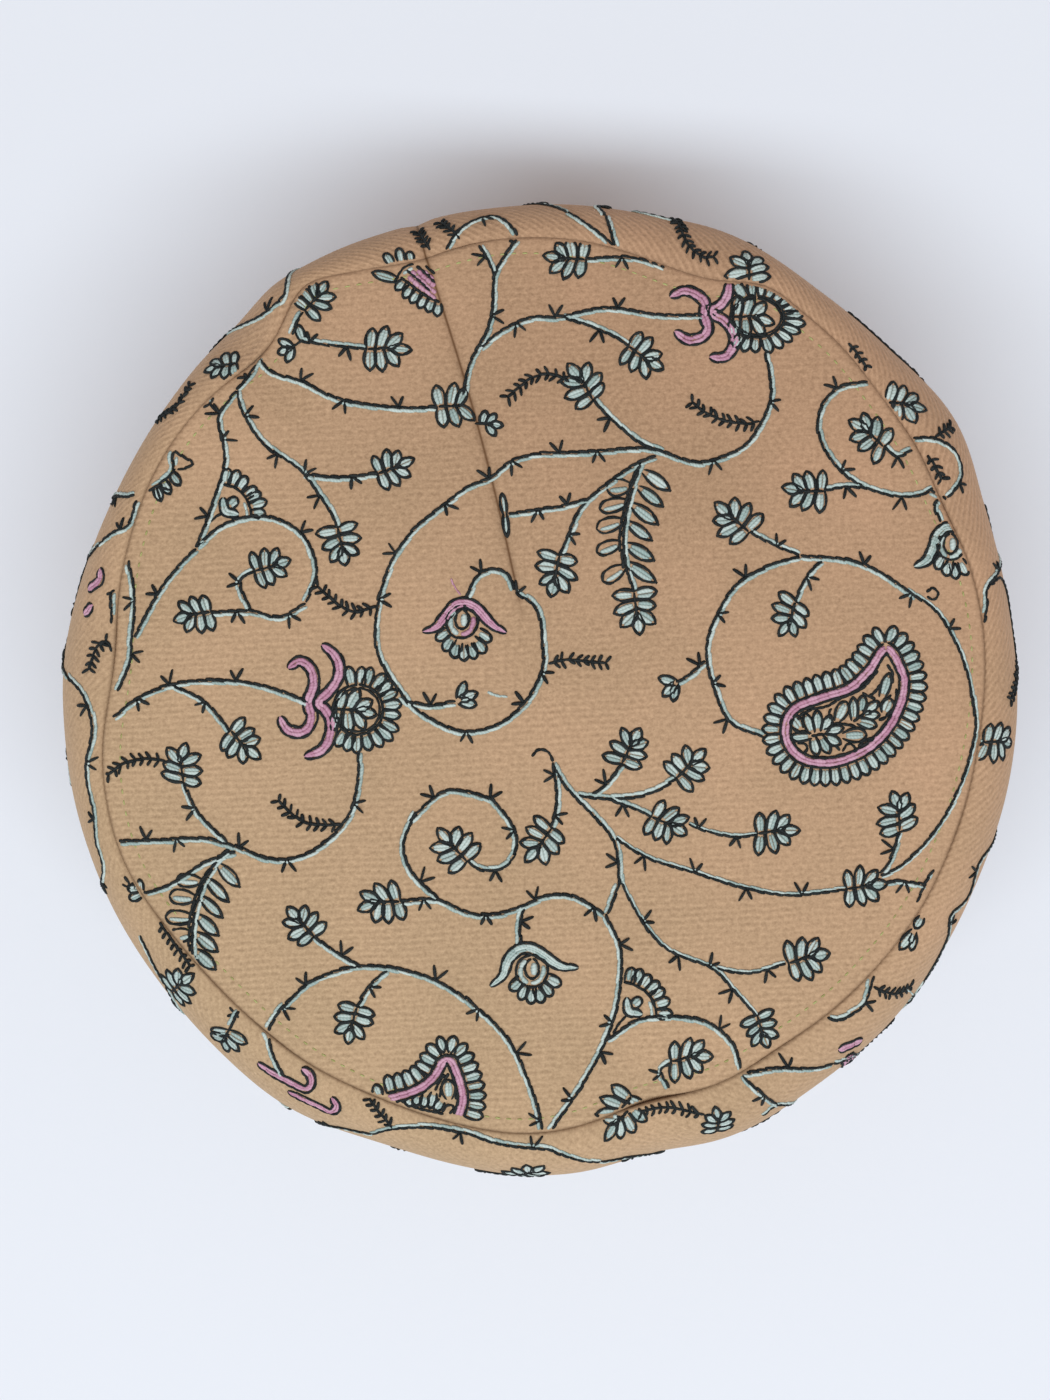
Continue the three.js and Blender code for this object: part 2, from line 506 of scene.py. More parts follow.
# Camel wool twill: faint ribs, streaks along them and a heathered grain
twill = {
    "light": (0.654, 0.441, 0.267),
    "deep": (0.376, 0.24, 0.1395),
    "paintedCoolLight": (0.945, 0.982, 1.0),  # painted light: a cool tint toward the front left and a rosy one toward the back right, where the light falls differently
    "paintedRosyLight": (0.945, 0.853, 0.881),
    "paintedLightAndRibRise": (3.2, 4.2),  # in a metre to the right, and to the back
    "paintedLightBlotch": 0.7,
    "noises": {  # scale and detail
        "wander": (90.0, 2.0),
        "streak": (1.5, 3.0),
        "grain": (2300.0, 4.0),
        "fleck": (1100.0, 2.0),
        "blotch": (38.0, 3.0),
    },
    "streakLength": 2.0,
    "ribPitch": 1.24,  # millimetres
    "ribShift": {"wander": 0.8, "streak": 0.35},  # in pitches
    "ribShown": 0.65,
    "ribWander": 1.2,
    "relief": 0.00006,  # metres
    "reliefStrength": 0.8,
    "heights": {"rib": 0.6, "streak": 1.2, "grain": 1.5, "fleck": 1.5},
    "shades": {"rib": 0.105, "streak": 0.6, "grain": 0.9, "fleck": 1.05, "blotch": 0.6, "darkPatch": -0.2},
    "darkPatchAt": (0.01, 0.05),  # metres: a darker patch behind the middle
    "darkPatchSpread": (0.045, 0.038),
    "rough": 0.92,
    "roughGrain": 0.1,
    "sheen": (0.9, 0.72, 0.55),
}
# Sewn lines on the crown's seam and on the dart or the join: a dark line, partly their own colour and
# partly painted shadow in the groove, and a wider painted shade over the fold beside it
sewnLine = {
    "colour": (0.13, 0.06, 0.026),
    "lineWidth": 0.26,  # millimetres
    "paintedShadeWidth": 0.8,
    "grooveWidth": 0.7,
    "grooveDepth": 5.0,
    "gaps": (42.0, 2.0),  # a noise by which the seam's line comes and goes
    "gapDepth": 1.6,
    "frontShare": 0.52,  # the seam's line is faintest at the back
    "backFade": 5.0,
    "faintest": 0.2,
    "seamLine": 0.6,
    "paintedSeamShade": 0.1,
    "joinLine": 0.75,
    "paintedJoinShade": 0.2,
}


# The sum of waves by their weights
def weighed(waves, weights, start=0.0):
    return sum((waves[label] * weight for label, weight in weights.items()), start)


# The weave lies at an angle in degrees on the cloth's map, and its ribs, which are sines, fade toward the
# back right. lineAway gives the distance from the dart or join, and how far it is sewn there.
def woolTwill(name, lineAway, ribAngle, ribDepth, ribFade):
    finish = Finish(name)
    flat = finish.node("ShaderNodeUVMap", {"uv_map": "cloth"})
    u, v = [part / toMetres for part in finish.split(flat)]
    cos = float(np.cos(np.radians(ribAngle)))
    sin = float(np.sin(np.radians(ribAngle)))
    across = v * cos - u * sin
    along = (u * cos + v * sin) / twill["streakLength"]
    places = {"streak": finish.node("ShaderNodeCombineXYZ", None, {"X": along, "Y": across})}
    waves = {
        label: finish.noise(places.get(label, flat), *facts) for label, facts in twill["noises"].items()
    }
    solid = finish.node("ShaderNodeTexCoord", out="Object")
    right, back = finish.split(solid)
    backRight = right * twill["paintedLightAndRibRise"][0] + back * twill["paintedLightAndRibRise"][1]
    darkPatch = [
        (part - middle).bell(spread)
        for part, middle, spread in zip((right, back), twill["darkPatchAt"], twill["darkPatchSpread"])
    ]
    waves["darkPatch"] = darkPatch[0] * darkPatch[1]
    shown = twill["ribShown"] - backRight * ribFade + waves["wander"] * twill["ribWander"]
    rib = weighed(waves, twill["ribShift"], across / twill["ribPitch"]).sine()
    waves["rib"] = rib * shown.clamped() * ribDepth
    shade = weighed(waves, twill["shades"], 0.5)
    # Painted light: the cloth is tinted cool toward the front left and rosy toward the back right, as the
    # light falls there
    paintedRosyLight = 0.5 + backRight + waves["blotch"] * twill["paintedLightBlotch"]
    paintedLightTint = finish.blend(paintedRosyLight, twill["paintedCoolLight"], twill["paintedRosyLight"])
    colour = finish.blend(shade, twill["deep"], twill["light"])
    colour = finish.blend(1.0, colour, paintedLightTint, "MULTIPLY")
    seam = finish.attribute("seamAway")
    join, sewn = lineAway(u, v)
    gaps = (0.5 + finish.noise(solid, *sewnLine["gaps"]) * sewnLine["gapDepth"]).clamped()
    front = (sewnLine["frontShare"] - back * sewnLine["backFade"]).clamped()
    front = front * sewnLine["seamLine"] + sewnLine["faintest"]
    # Painted shade: the dark lines are partly painted shadow in the grooves, and the folds beside them get
    # a wider painted shade
    dark = seam.bell(sewnLine["lineWidth"]) * gaps * front
    dark = dark + join.bell(sewnLine["lineWidth"]) * sewn * sewnLine["joinLine"]
    dark = dark + seam.bell(sewnLine["paintedShadeWidth"]) * sewnLine["paintedSeamShade"]
    dark = dark + join.bell(sewnLine["paintedShadeWidth"]) * sewn * sewnLine["paintedJoinShade"]
    groove = join.bell(sewnLine["grooveWidth"]) * sewn * sewnLine["grooveDepth"]
    height = weighed(waves, twill["heights"]) - groove
    finish.set(
        Base_Color=finish.blend(dark, colour, sewnLine["colour"]),
        Roughness=twill["rough"] - waves["grain"] * twill["roughGrain"],
        Normal=finish.bump(height, twill["relief"], twill["reliefStrength"]),
        Sheen_Weight=0.2,
        Sheen_Roughness=0.5,
        Sheen_Tint=twill["sheen"],
        Specular_IOR_Level=0.2,
    )
    return finish.material


# The distance across the dart's line, less its bow, which is half a sine, and a share that grows from
# its tip
def dartAway(u, v, growth=0.11):
    cos = float(np.cos(capForm["backSeam"]))
    sin = float(np.sin(capForm["backSeam"]))
    along = u * sin + v * cos - crownDetail["dartTip"]
    bow = ((along / crownDetail["dartLength"]).clamped() * 0.5).sine() * crownDetail["dartBow"]
    return u * cos - v * sin - bow, (along * growth).clamped()


# The band's ends meet where its length begins and ends, and are sewn all the way
def joinAway(u, v):
    length = float(fullTurn * capForm["girth"])
    return u.math("MINIMUM", length - u), (v * 0 + 1).clamped()


# Twisted embroidery thread: a shade for each stitch, and the slanting plies of the twist, bumped and also
# painted lighter and darker as shade and highlight
threadLooks = {
    "dark": {"colour": (0.011, 0.014, 0.0155), "other": (0.025, 0.029, 0.030), "rough": 0.7, "gloss": 0.15},
    "aqua": {"colour": (0.31, 0.41, 0.395), "other": (0.575, 0.66, 0.635), "rough": 0.6, "gloss": 0.3},
    "pink": {"colour": (0.47, 0.215, 0.32), "other": (0.63, 0.36, 0.475), "rough": 0.6, "gloss": 0.3},
    "green": {"colour": (0.36, 0.35, 0.13), "other": (0.47, 0.48, 0.20), "rough": 0.7, "gloss": 0.2},
}
twist = {
    "pitch": 0.7,  # millimetres along the thread
    "shade": 0.18,
    "rough": 0.06,
    "relief": 0.00004,  # metres
    "strength": 0.6,
}


# The plies are a sine along the thread, moved on by the way round it
def threadFinish(kind):
    look = threadLooks[kind]
    finish = Finish(kind + "Thread")
    ply = (finish.attribute("along") / twist["pitch"] + finish.attribute("around")).sine()
    # Painted shade and highlight: the plies' sine also lightens and darkens the thread's colour
    shade = finish.attribute("shade") + ply * twist["shade"]
    finish.set(
        Base_Color=finish.blend(shade, look["colour"], look["other"]),
        Roughness=look["rough"] - ply * twist["rough"],
        Normal=finish.bump(ply, twist["relief"], twist["strength"]),
        Specular_IOR_Level=look["gloss"],
    )
    return finish.material


# Cloth shells: rows on the outer face, crowded toward the seam, and on the inner face
shells = {
    "columns": 384,
    "crown": {"outer": 84, "inner": 22, "crowd": 0.11},
    "band": {"outer": 92, "inner": 26, "crowd": 0.08},
}


# Rings from the middle out over the face to the edge, and back to the middle along the inside
def crownShell():
    rows = shells["crown"]
    bearing = np.linspace(0, fullTurn, shells["columns"] + 1)
    edge = cap["edge"](bearing) + capForm["tuck"]
    share = np.linspace(0, 1, rows["outer"])
    share = share + rows["crowd"] * np.sin(np.pi * share) * share
    outer = crownCloth(roundMiddle(share[:, None] * edge, bearing))
    under = roundMiddle(np.linspace(1, 0, rows["inner"])[:, None] * edge, bearing)
    depth = crownHeight(under[..., 0], under[..., 1], plain=True) - capForm["cloth"]
    points = np.concatenate([outer, np.concatenate([under, depth[..., None]], axis=-1)])
    away = edge - np.hypot(points[..., 0], points[..., 1])
    clothMap = points[..., :2] * toMetres
    return turnedPiece("crown_cloth", points[:, :-1], clothMap, away[:, :-1], False)


# Rings from the seam down the face to the rim, and back up the inside
def bandShell():
    rows = shells["band"]
    bearing = capForm["backSeam"] + np.linspace(0, fullTurn, shells["columns"] + 1)
    share = np.linspace(0, 1, rows["outer"])
    share = share - rows["crowd"] * np.sin(np.pi * share) * (1 - share)
    inside = np.linspace(1, 0, rows["inner"])
    drop, turn = np.meshgrid(np.concatenate([share, inside]) * bandDrop, bearing, indexing="ij")
    outer = bandPoint(turn[:len(share)], drop[:len(share)])
    inner = bandPoint(turn[len(share):], drop[len(share):], capForm["cloth"])
    inner[-1, :, :2] = outer[0, :, :2]  # the cut edge stands upright beside the crown
    points = np.concatenate([outer, inner])
    clothMap = np.stack([(turn - bearing[0]) * capForm["girth"], drop], -1) * toMetres
    return turnedPiece("band_cloth", points[:, :-1], clothMap, drop[:, :-1], True)


crownPiece = crownShell()
crownTwill = woolTwill("crownTwill", dartAway, ribAngle=3.0, ribDepth=1.15, ribFade=0.8)
crownPiece.data.materials.append(crownTwill)
bandPiece = bandShell()
bandTwill = woolTwill("bandTwill", joinAway, ribAngle=140.0, ribDepth=1.5, ribFade=-0.8)
bandPiece.data.materials.append(bandTwill)
print("cloth made:", len(crownPiece.data.polygons), "and", len(bandPiece.data.polygons), "faces")


# A smooth path: a Catmull-Rom curve through its points, walked by its length
class Path:
    def __init__(self, points, closed=False, steps=20):
        points = np.asarray(points, float)
        if closed:
            padded = np.concatenate([points[-1:], points, points[:2]])
        else:
            before = 2 * points[:1] - points[1:2]
            padded = np.concatenate([before, points, 2 * points[-1:] - points[-2:-1]])
        a, b, c, d = padded[:-3], padded[1:-2], padded[2:-1], padded[3:]
        t = np.linspace(0, 1, steps, endpoint=False)[:, None, None]
        bend = (2 * a - 5 * b + 4 * c - d) * t ** 2 + (3 * b - a - 3 * c + d) * t ** 3
        curve = (b + ((c - a) * t + bend) / 2).swapaxes(0, 1).reshape(-1, 2)
        self.curve = np.concatenate([curve, padded[-2:-1]])
        self.walked = walkedAlong(self.curve)
        self.length = self.walked[-1]

    def plain(self, distance):
        return np.stack([np.interp(distance, self.walked, line) for line in self.curve.T], -1)

    def heading(self, distance, step=0.15):
        ahead = self.plain(np.minimum(distance + step, self.length))
        return unit(ahead - self.plain(np.maximum(distance - step, 0)))

    # A point at a distance along the path, moved to the right of travel
    def at(self, distance, offset=0.0):
        return self.plain(distance) + rightOf(self.heading(distance)) * np.asarray(offset)[..., None]


# A direction turned a quarter clockwise
def rightOf(way):
    return np.stack([way[..., 1], -way[..., 0]], -1)


# A direction turned clockwise by an angle
def turned(way, angle):
    return way * np.cos(angle)[..., None] + rightOf(way) * np.sin(angle)[..., None]


# Chart points round a centre, by compass angles in degrees, on a circle or one squashed up and down
def compass(centre, radius, degrees, squash=1.0):
    angle = np.radians(degrees)
    away = np.stack([np.sin(angle), -squash * np.cos(angle)], -1)
    return np.asarray(centre) + away * np.asarray(radius)[..., None]


# How wide a pair of horns is along its length: one less the eighth power of the distance from the middle,
# under a root, so it is full and rounded off at both tips
def hornTaper(share):
    return np.sqrt(clipped(1 - np.abs(2 * share - 1) ** 8))


# How wide an arch is: one less the cube of the distance from the middle, to a power, so its ends are sharp
def archTaper(share):
    return clipped(1 - np.abs(2 * share - 1) ** 3) ** 0.7


stitchSizes = {  # millimetres: width and height of one stitch
    "stem": (0.62, 0.5),
    "pale": (0.72, 0.42),
    "thorn": (0.68, 0.6),
    "outline": (0.6, 0.46),
    "ink": (0.62, 0.36),
    "ring": (1.05, 0.42),
    "bud": (1.3, 0.4),
    "topstitch": (0.36, 0.24),
}
stitching = {
    "uneven": 0.1,  # spread of the stitches' widths
    "nudge": 0.05,  # millimetres aside
    "reach": 0.72,  # half a stitch's length, in steps
    "thinnest": 0.4,  # width left where a taper ends
    "looseHeight": 0.3,
}
# The motifs, in millimetres along the cloth and radians unless a note says otherwise
vineForm = {"pitch": 1.8, "slant": 0.24, "palePitch": 2.3, "paleAside": 0.6, "paleSlant": 0.18}
thornForm = {"spread": 0.5, "lean": 0.15, "reach": (2.3, 3.2)}
fernForm = {
    "pitch": 1.5,
    "barbPitch": 1.45,
    "start": 0.8,
    "lean": 0.95,
    "unevenLean": 0.15,
    "reach": (1.5, 2.1),
}
# Each outline stitch of a petal: how far along it its start, middle and end lie, and how far across, as
# shares. A name stands for the petal's own value.
petalForm = {
    "outline": [
        [(-0.09, "waist"), (0.36, 0.5), (0.78, 0.47)],
        [(0.62, 0.52), (0.88, "blunt"), ("point", -0.14)],
    ],
    "uneven": 0.06,
    "strand": (0.08, 0.5, 0.93),  # how far along a strand's ends and middle lie
    "strandBow": (0.5, 1.0, 0.5),
    "strandWidth": 0.58,
    "strandHeight": 0.38,
    "strandNudge": 0.03,
}
# A leaf's seven petals: their turns in degrees, their roots and lengths as shares of the leaf's, and their
# waists
leafForm = {
    "turn": (90, 75, 50, 0, -50, -75, -90),
    "root": (0.07, 0.29, 0.46, 0.52, 0.46, 0.29, 0.07),
    "reach": (0.49, 0.52, 0.5, 0.5, 0.5, 0.52, 0.49),
    "waist": (0.26, 0.22, 0.06, 0.04, 0.06, 0.22, 0.26),
    "longest": 8.0,  # millimetres
    "width": 0.26,
    "midrib": 0.56,
    "point": 1.1,
    "skew": 0.2,
    "unevenTurn": 0.07,
    "unevenReach": 0.05,
}
ribbonForm = {
    "row": 0.62,
    "height": 0.42,
    "pitch": 2.1,
    "spread": 0.9,  # shares of a row
    "overlap": 1.2,
    "edge": 0.24,
    "edgePitch": 1.8,
}
ringForm = {"unevenTurn": 1.5, "unevenReach": 0.02, "crowd": 1.04}  # degrees and shares
bloomForm = {"ringGap": 3, "leafBase": 0.9, "leafTip": 0.75}  # pixels, and shares of the inner ring
# The arcs inside a fan's petals, the curled bud in its corner and a petal, in pixels and degrees
fanForm = {
    "darkGap": 1,
    "aquaGap": 5,
    "aquaStart": 60,
    "past": 6,
    "curl": [(4, -19), (5, -9), (8, -4), (20, -2)],
    "curlWidth": 1.25,
    "petal": [(10, -10), (18, -18)],
}
# The parts of a lotus in pixels and degrees, and its arch in millimetres
lotusForm = {
    "archWidth": 1.6,
    "inner": 0.74,
    "aquaPart": (195, 335),
    "archPart": (60, 190),
    "oval": (7, 10),
    "raise": 2,
    "bud": [(2, -9), (2, 5)],
    "petal": 16,
}
paisleyForm = {"width": 1.45, "inner": -0.9, "middle": -2.6, "outer": -4.4, "petal": 1.92}
# Petals that are charted one by one: pointed ones, long leaflets, round ones with one strand each, ovals,
# and slivers that the dart half hides
singlePetals = {
    "petals": {"width": 1.7, "waist": 0.26, "point": 1.1},
    "slips": {"width": 2.05, "waist": 0.1, "point": 1.1, "blunt": 0.27, "filled": (0.64, 0.78)},
    "rounds": {
        "width": 2.5, "waist": 0.08, "point": 1.04, "blunt": 0.4, "filled": (0.6, 0.7), "lanes": (-0.25,),
    },
    "ovals": {"width": 2.3, "waist": 0.12, "point": 1.05, "blunt": 0.36, "filled": (0.55, 0.7)},
    "slivers": {"width": 1.1, "waist": 0.2, "point": 1.1, "lanes": (0.0,)},
}


# Flat cloth being embroidered: place turns chart points into millimetres on it, and rows gathers the
# stitches of each thread as start, middle and end, width and height
class Hoop:
    def __init__(self, rows, place):
        self.rows = rows
        self.place = place

    def path(self, points, closed=False):
        return Path(self.place(points), closed)

    def stitch(self, thread, start, middle, end, width, height):
        width = width * draws.normal(1, stitching["uneven"], len(start))
        row = np.column_stack([start, middle, end, width, np.full(len(start), height)])
        self.rows.setdefault(thread, []).append(row)

    # Straight stitches from roots to tips
    def stroke(self, root, tip):
        self.stitch("dark", root, (root + tip) / 2, tip, *stitchSizes["thorn"])

    # Backstitches along a path: equal steps, each stitch longer than its step, nudged aside a little and
    # slanted across the line as in stem stitch
    def run(self, thread, path, size, pitch, offset=0.0, taper=None, slant=0.06, thin=True):
        count = max(1, round(path.length / pitch))
        step = path.length / count
        centre = (np.arange(count) + 0.5) * step
        nudge = draws.normal(0, stitching["nudge"], count)
        ends = []
        for way in (-stitching["reach"], 0, stitching["reach"]):
            distance = np.clip(centre + way * step, 0, path.length)
            aside = offset * taper(distance / path.length) if taper else offset
            ends.append(path.at(distance, aside + nudge + way * slant))
        width, height = size
        if taper and thin:
            least = stitching["thinnest"]
            width = width * (least + (1 - least) * taper(centre / path.length))
        self.stitch(thread, *ends, width, height)

    # A thorn is two strokes that leave the path to one side, spread like a V
    def thorn(self, path, share):
        distance = np.full(2, abs(share) * path.length)
        lean = draws.normal(0, thornForm["lean"])
        spread = np.array([-1, 1]) * thornForm["spread"] + lean
        out = turned(path.heading(distance) * np.sign(share), np.pi / 2 + spread)
        root = path.at(distance)
        self.stroke(root, root + out * draws.uniform(*thornForm["reach"], 2)[:, None])

    # A vine: a dark stem with a pale line on one side of it, narrower where the side is a fraction, and
    # its thorns
    def vine(self, side, thorns, points):
        path = self.path(points)
        self.run("dark", path, stitchSizes["stem"], vineForm["pitch"], slant=vineForm["slant"])
        if side:
            width, height = stitchSizes["pale"]
            size = width * abs(side), height
            aside = vineForm["paleAside"] * side
            self.run("aqua", path, size, vineForm["palePitch"], aside, slant=vineForm["paleSlant"])
        for share in thorns:
            self.thorn(path, share)

    # Petals from roots to tips: two bowed sides, two stitches that meet in a sharp or blunt end, and
    # strands that fill a share of their width, in lanes
    def petals(
        self, roots, tips, width, waist=0.42, point=1.05, blunt=0.3, filled=(0.6, 0.82), lanes=(-0.25, 0.25)
    ):
        axis = tips - roots
        widths = np.broadcast_to(width, len(roots)) * draws.normal(1, petalForm["uneven"], len(roots))
        across = rightOf(unit(axis)) * widths[:, None]
        own = {"waist": np.broadcast_to(waist, len(roots))[:, None], "point": point, "blunt": blunt}
        for shares in petalForm["outline"]:
            shares = [[own.get(value, value) for value in pair] for pair in shares]
            for side in (-1, 1):
                ends = [roots + far * axis + side * wide * across for far, wide in shares]
                self.stitch("outline", *ends, *stitchSizes["outline"])
        full = draws.uniform(*filled, (len(roots), 1))
        strandWidth = np.linalg.norm(across * full, axis=1) * petalForm["strandWidth"]
        for lane in lanes:
            aside = across * (lane * full + draws.normal(0, petalForm["strandNudge"], full.shape))
            shares = zip(petalForm["strand"], petalForm["strandBow"])
            ends = [roots + far * axis + bow * aside for far, bow in shares]
            self.stitch("aqua", *ends, strandWidth, petalForm["strandHeight"])

    # A leaf: petals turned out from a short midrib, by angles that close in toward the tip
    def leaf(self, base, tip, keep=range(7)):
        base, tip = self.place([base, tip])
        axis = tip - base
        axis = axis * min(1, leafForm["longest"] / np.linalg.norm(axis))
        turn, root, reach, waist = [
            np.array(leafForm[label])[list(keep)] for label in ("turn", "root", "reach", "waist")
        ]
        skew = draws.normal(0, leafForm["skew"])
        turn = np.radians(turn) + draws.normal(skew, leafForm["unevenTurn"], len(turn))
        reach = reach * draws.normal(1, leafForm["unevenReach"], len(turn))
        roots = base + root[:, None] * axis
        tips = roots + turned(axis, turn) * reach[:, None]
        width = np.linalg.norm(axis) * leafForm["width"]
        self.petals(roots, tips, width, waist, leafForm["point"])
        midrib = Path([base, base + leafForm["midrib"] * axis])
        self.run("dark", midrib, stitchSizes["outline"], pitch=2.0)

    # A fern: a dark spine with short barbs on both sides, leaning to its tip
    def fern(self, *points):
        path = self.path(points)
        self.run("dark", path, stitchSizes["stem"], fernForm["pitch"])
        count = max(3, round(path.length / fernForm["barbPitch"]))
        distance = (np.arange(count) + fernForm["start"]) / count * path.length
        root = path.at(distance)
        for side in (-1, 1):
            lean = fernForm["lean"] + draws.normal(0, fernForm["unevenLean"], count)
            way = turned(path.heading(distance), side * lean)
            self.stroke(root, root + way * draws.uniform(*fernForm["reach"], count)[:, None])

    # A ribbon: rows of stitches side by side along a path, with an outline on each edge
    def ribbon(self, thread, path, width, taper=None):
        rows = max(1, round(width / ribbonForm["row"]))
        size = width / rows * ribbonForm["overlap"], ribbonForm["height"]
        for row in range(rows):
            offset = (row + 0.5 - rows / 2) * width / rows * ribbonForm["spread"]
            self.run(thread, path, size, ribbonForm["pitch"], offset, taper)
        for side in (-1, 1):
            offset = side * (width / 2 + ribbonForm["edge"])
            size = stitchSizes["outline"]
            self.run("dark", path, size, ribbonForm["edgePitch"], offset, taper, thin=False)

    def horn(self, width, points):
        self.ribbon("pink", self.path(points), width, hornTaper)

    # Petals between two rings over part of a turn, side by side
    def ringPetals(self, centre, outer, inner, start, end, count, squash=1.0):
        angle = np.linspace(start, end, count) + draws.normal(0, ringForm["unevenTurn"], count)
        roots = self.place(compass(centre, inner, angle, squash))
        outer = outer * draws.normal(1, ringForm["unevenReach"], count)
        tips = self.place(compass(centre, outer, angle, squash))
        mean = np.linalg.norm((roots + tips) / 2 - self.place([centre]), axis=1).mean()
        self.petals(roots, tips, np.radians((end - start) / (count - 1)) * mean * ringForm["crowd"])

    # A round flower: petals round a dark double ring, with a leaf spread inside it
    def bloom(self, centre, outer, inner, start, end, count, squash=1.0):
        self.ringPetals(centre, outer, inner, start, end, count, squash)
        for radius in (inner, inner - bloomForm["ringGap"]):
            ring = compass(centre, radius, np.arange(0, 360, 24), squash)
            self.run("dark", self.path(ring, closed=True), stitchSizes["outline"], pitch=1.9)
        x, y = centre
        self.leaf((x - inner * bloomForm["leafBase"], y), (x + inner * bloomForm["leafTip"], y))

    # A quarter flower: petals round two arcs, with a curled bud in the corner
    def fan(self, centre, outer, inner, start, end, count):
        self.ringPetals(centre, outer, inner, start, end, count)
        past = fanForm["past"]
        arcs = [
            ("dark", "outline", fanForm["darkGap"], start - past),
            ("aqua", "ink", fanForm["aquaGap"], fanForm["aquaStart"]),
        ]
        for thread, size, gap, first in arcs:
            arc = compass(centre, inner - gap, np.linspace(first, end + past, 8))
            self.run(thread, self.path(arc), stitchSizes[size], pitch=1.9)
        curl = self.path(np.add(centre, fanForm["curl"]))
        self.ribbon("aqua", curl, fanForm["curlWidth"], archTaper)
        root, tip = self.place(np.add(centre, fanForm["petal"]))
        self.petals(root[None], tip[None], width=1.8)

    # A lotus: an arch over a ring and an oval, with petals spread below
    def lotus(self, thread, arch, ring, radius, tips):
        self.ribbon(thread, self.path(arch), lotusForm["archWidth"], archTaper)
        for kind, turns in (("aqua", lotusForm["aquaPart"]), (thread, lotusForm["archPart"])):
            part = compass(ring, radius * lotusForm["inner"], np.linspace(*turns, 7))
            self.run(kind, self.path(part), stitchSizes["ring"], pitch=2.1)
        circle = compass(ring, radius, np.arange(0, 360, 30))
        self.run("dark", self.path(circle, closed=True), stitchSizes["outline"], pitch=1.7)
        wide, high = lotusForm["oval"]
        oval = compass((ring[0], ring[1] - lotusForm["raise"]), wide, np.arange(0, 360, 40), high / wide)
        self.run("dark", self.path(oval, closed=True), stitchSizes["outline"], pitch=1.5)
        top, low = self.place(np.add(ring, lotusForm["bud"]))
        self.stitch("aqua", top[None], (top + low)[None] / 2, low[None], *stitchSizes["bud"])
        tips = np.asarray(tips, float)
        roots = tips - unit(tips - np.asarray(ring)) * lotusForm["petal"]
        self.petals(self.place(roots), self.place(tips), width=1.95)

    # A paisley: a ribbon with a row of petals along its left, at equal steps through the petals' middles
    def paisley(self, border, closed, steps=400):
        path = self.path(border, closed)
        self.ribbon("pink", path, paisleyForm["width"])
        fine = np.linspace(0, path.length, steps)
        walked = walkedAlong(path.at(fine, paisleyForm["middle"]))
        count = round(walked[-1] / paisleyForm["petal"])
        distance = np.interp((np.arange(count) + 0.5) / count * walked[-1], walked, fine)
        ends = [path.at(distance, paisleyForm[edge]) for edge in ("inner", "outer")]
        self.petals(*ends, paisleyForm["petal"])

    def loose(self, thread, width, points):
        self.run(thread, self.path(points), (width, stitching["looseHeight"]), pitch=1.3)

    def ink(self, *points):
        self.run("dark", self.path(points), stitchSizes["ink"], pitch=1.3)

    # Sews each motif of a cluster, kind by kind
    def sew(self, cluster):
        kinds = {
            "vines": self.vine,
            "leaves": self.leaf,
            "ferns": self.fern,
            "horns": self.horn,
            "blooms": self.bloom,
            "fans": self.fan,
            "lotuses": self.lotus,
            "paisleys": self.paisley,
            "loose": self.loose,
            "inks": self.ink,
        }
        for label, motif in kinds.items():
            for facts in cluster.get(label, []):
                motif(*facts)
        for label, shape in singlePetals.items():
            ends = np.asarray(cluster.get(label, []), float).reshape(-1, 2, 2)
            if len(ends):
                self.petals(self.place(ends[:, 0]), self.place(ends[:, 1]), **shape)


# The embroidery, drawn in the picture's pixels and grouped into clusters. A vine has the side of
# its pale line and its thorns as shares of its length, right of travel being positive. Leaves, petals and
# ferns run from base to tip.
topFlower = {
    "vines": [
        (1, (0.19, -0.36, -0.63), [
            (480, 349), (498, 333), (530, 318), (560, 317), (606, 308), (660, 315), (704, 315),
        ]),
        (-1, (0.53,), [(562, 318), (588, 326), (612, 336), (630, 347)]),
        (1, (0.3, 0.74), [
            (656, 449), (695, 462), (722, 457), (745, 445), (760, 425), (770, 400), (770, 378),
            (764, 352),
        ]),
        (1, (-0.72,), [(664, 452), (640, 443), (612, 420), (593, 400)]),
    ],
    "leaves": [((629, 347), (660, 371)), ((593, 400), (572, 365))],
    "ferns": [
        [(760, 421), (745, 424), (722, 420), (703, 411), (691, 402)],
        [(570, 382), (552, 375), (535, 377), (520, 387), (507, 398)],
    ],
    "horns": [
        (1.55, [
            (670, 298), (684, 291), (699, 296), (706, 307), (703, 315), (708, 327), (702, 337),
            (688, 340), (674, 331),
        ]),
        (1.55, [
            (730, 280), (727, 296), (720, 306), (709, 313), (722, 319), (732, 331), (734, 345),
            (725, 357), (709, 357),
        ]),
    ],
    "blooms": [((757, 317), 48, 27, -25, 214, 16, 0.76)],
}
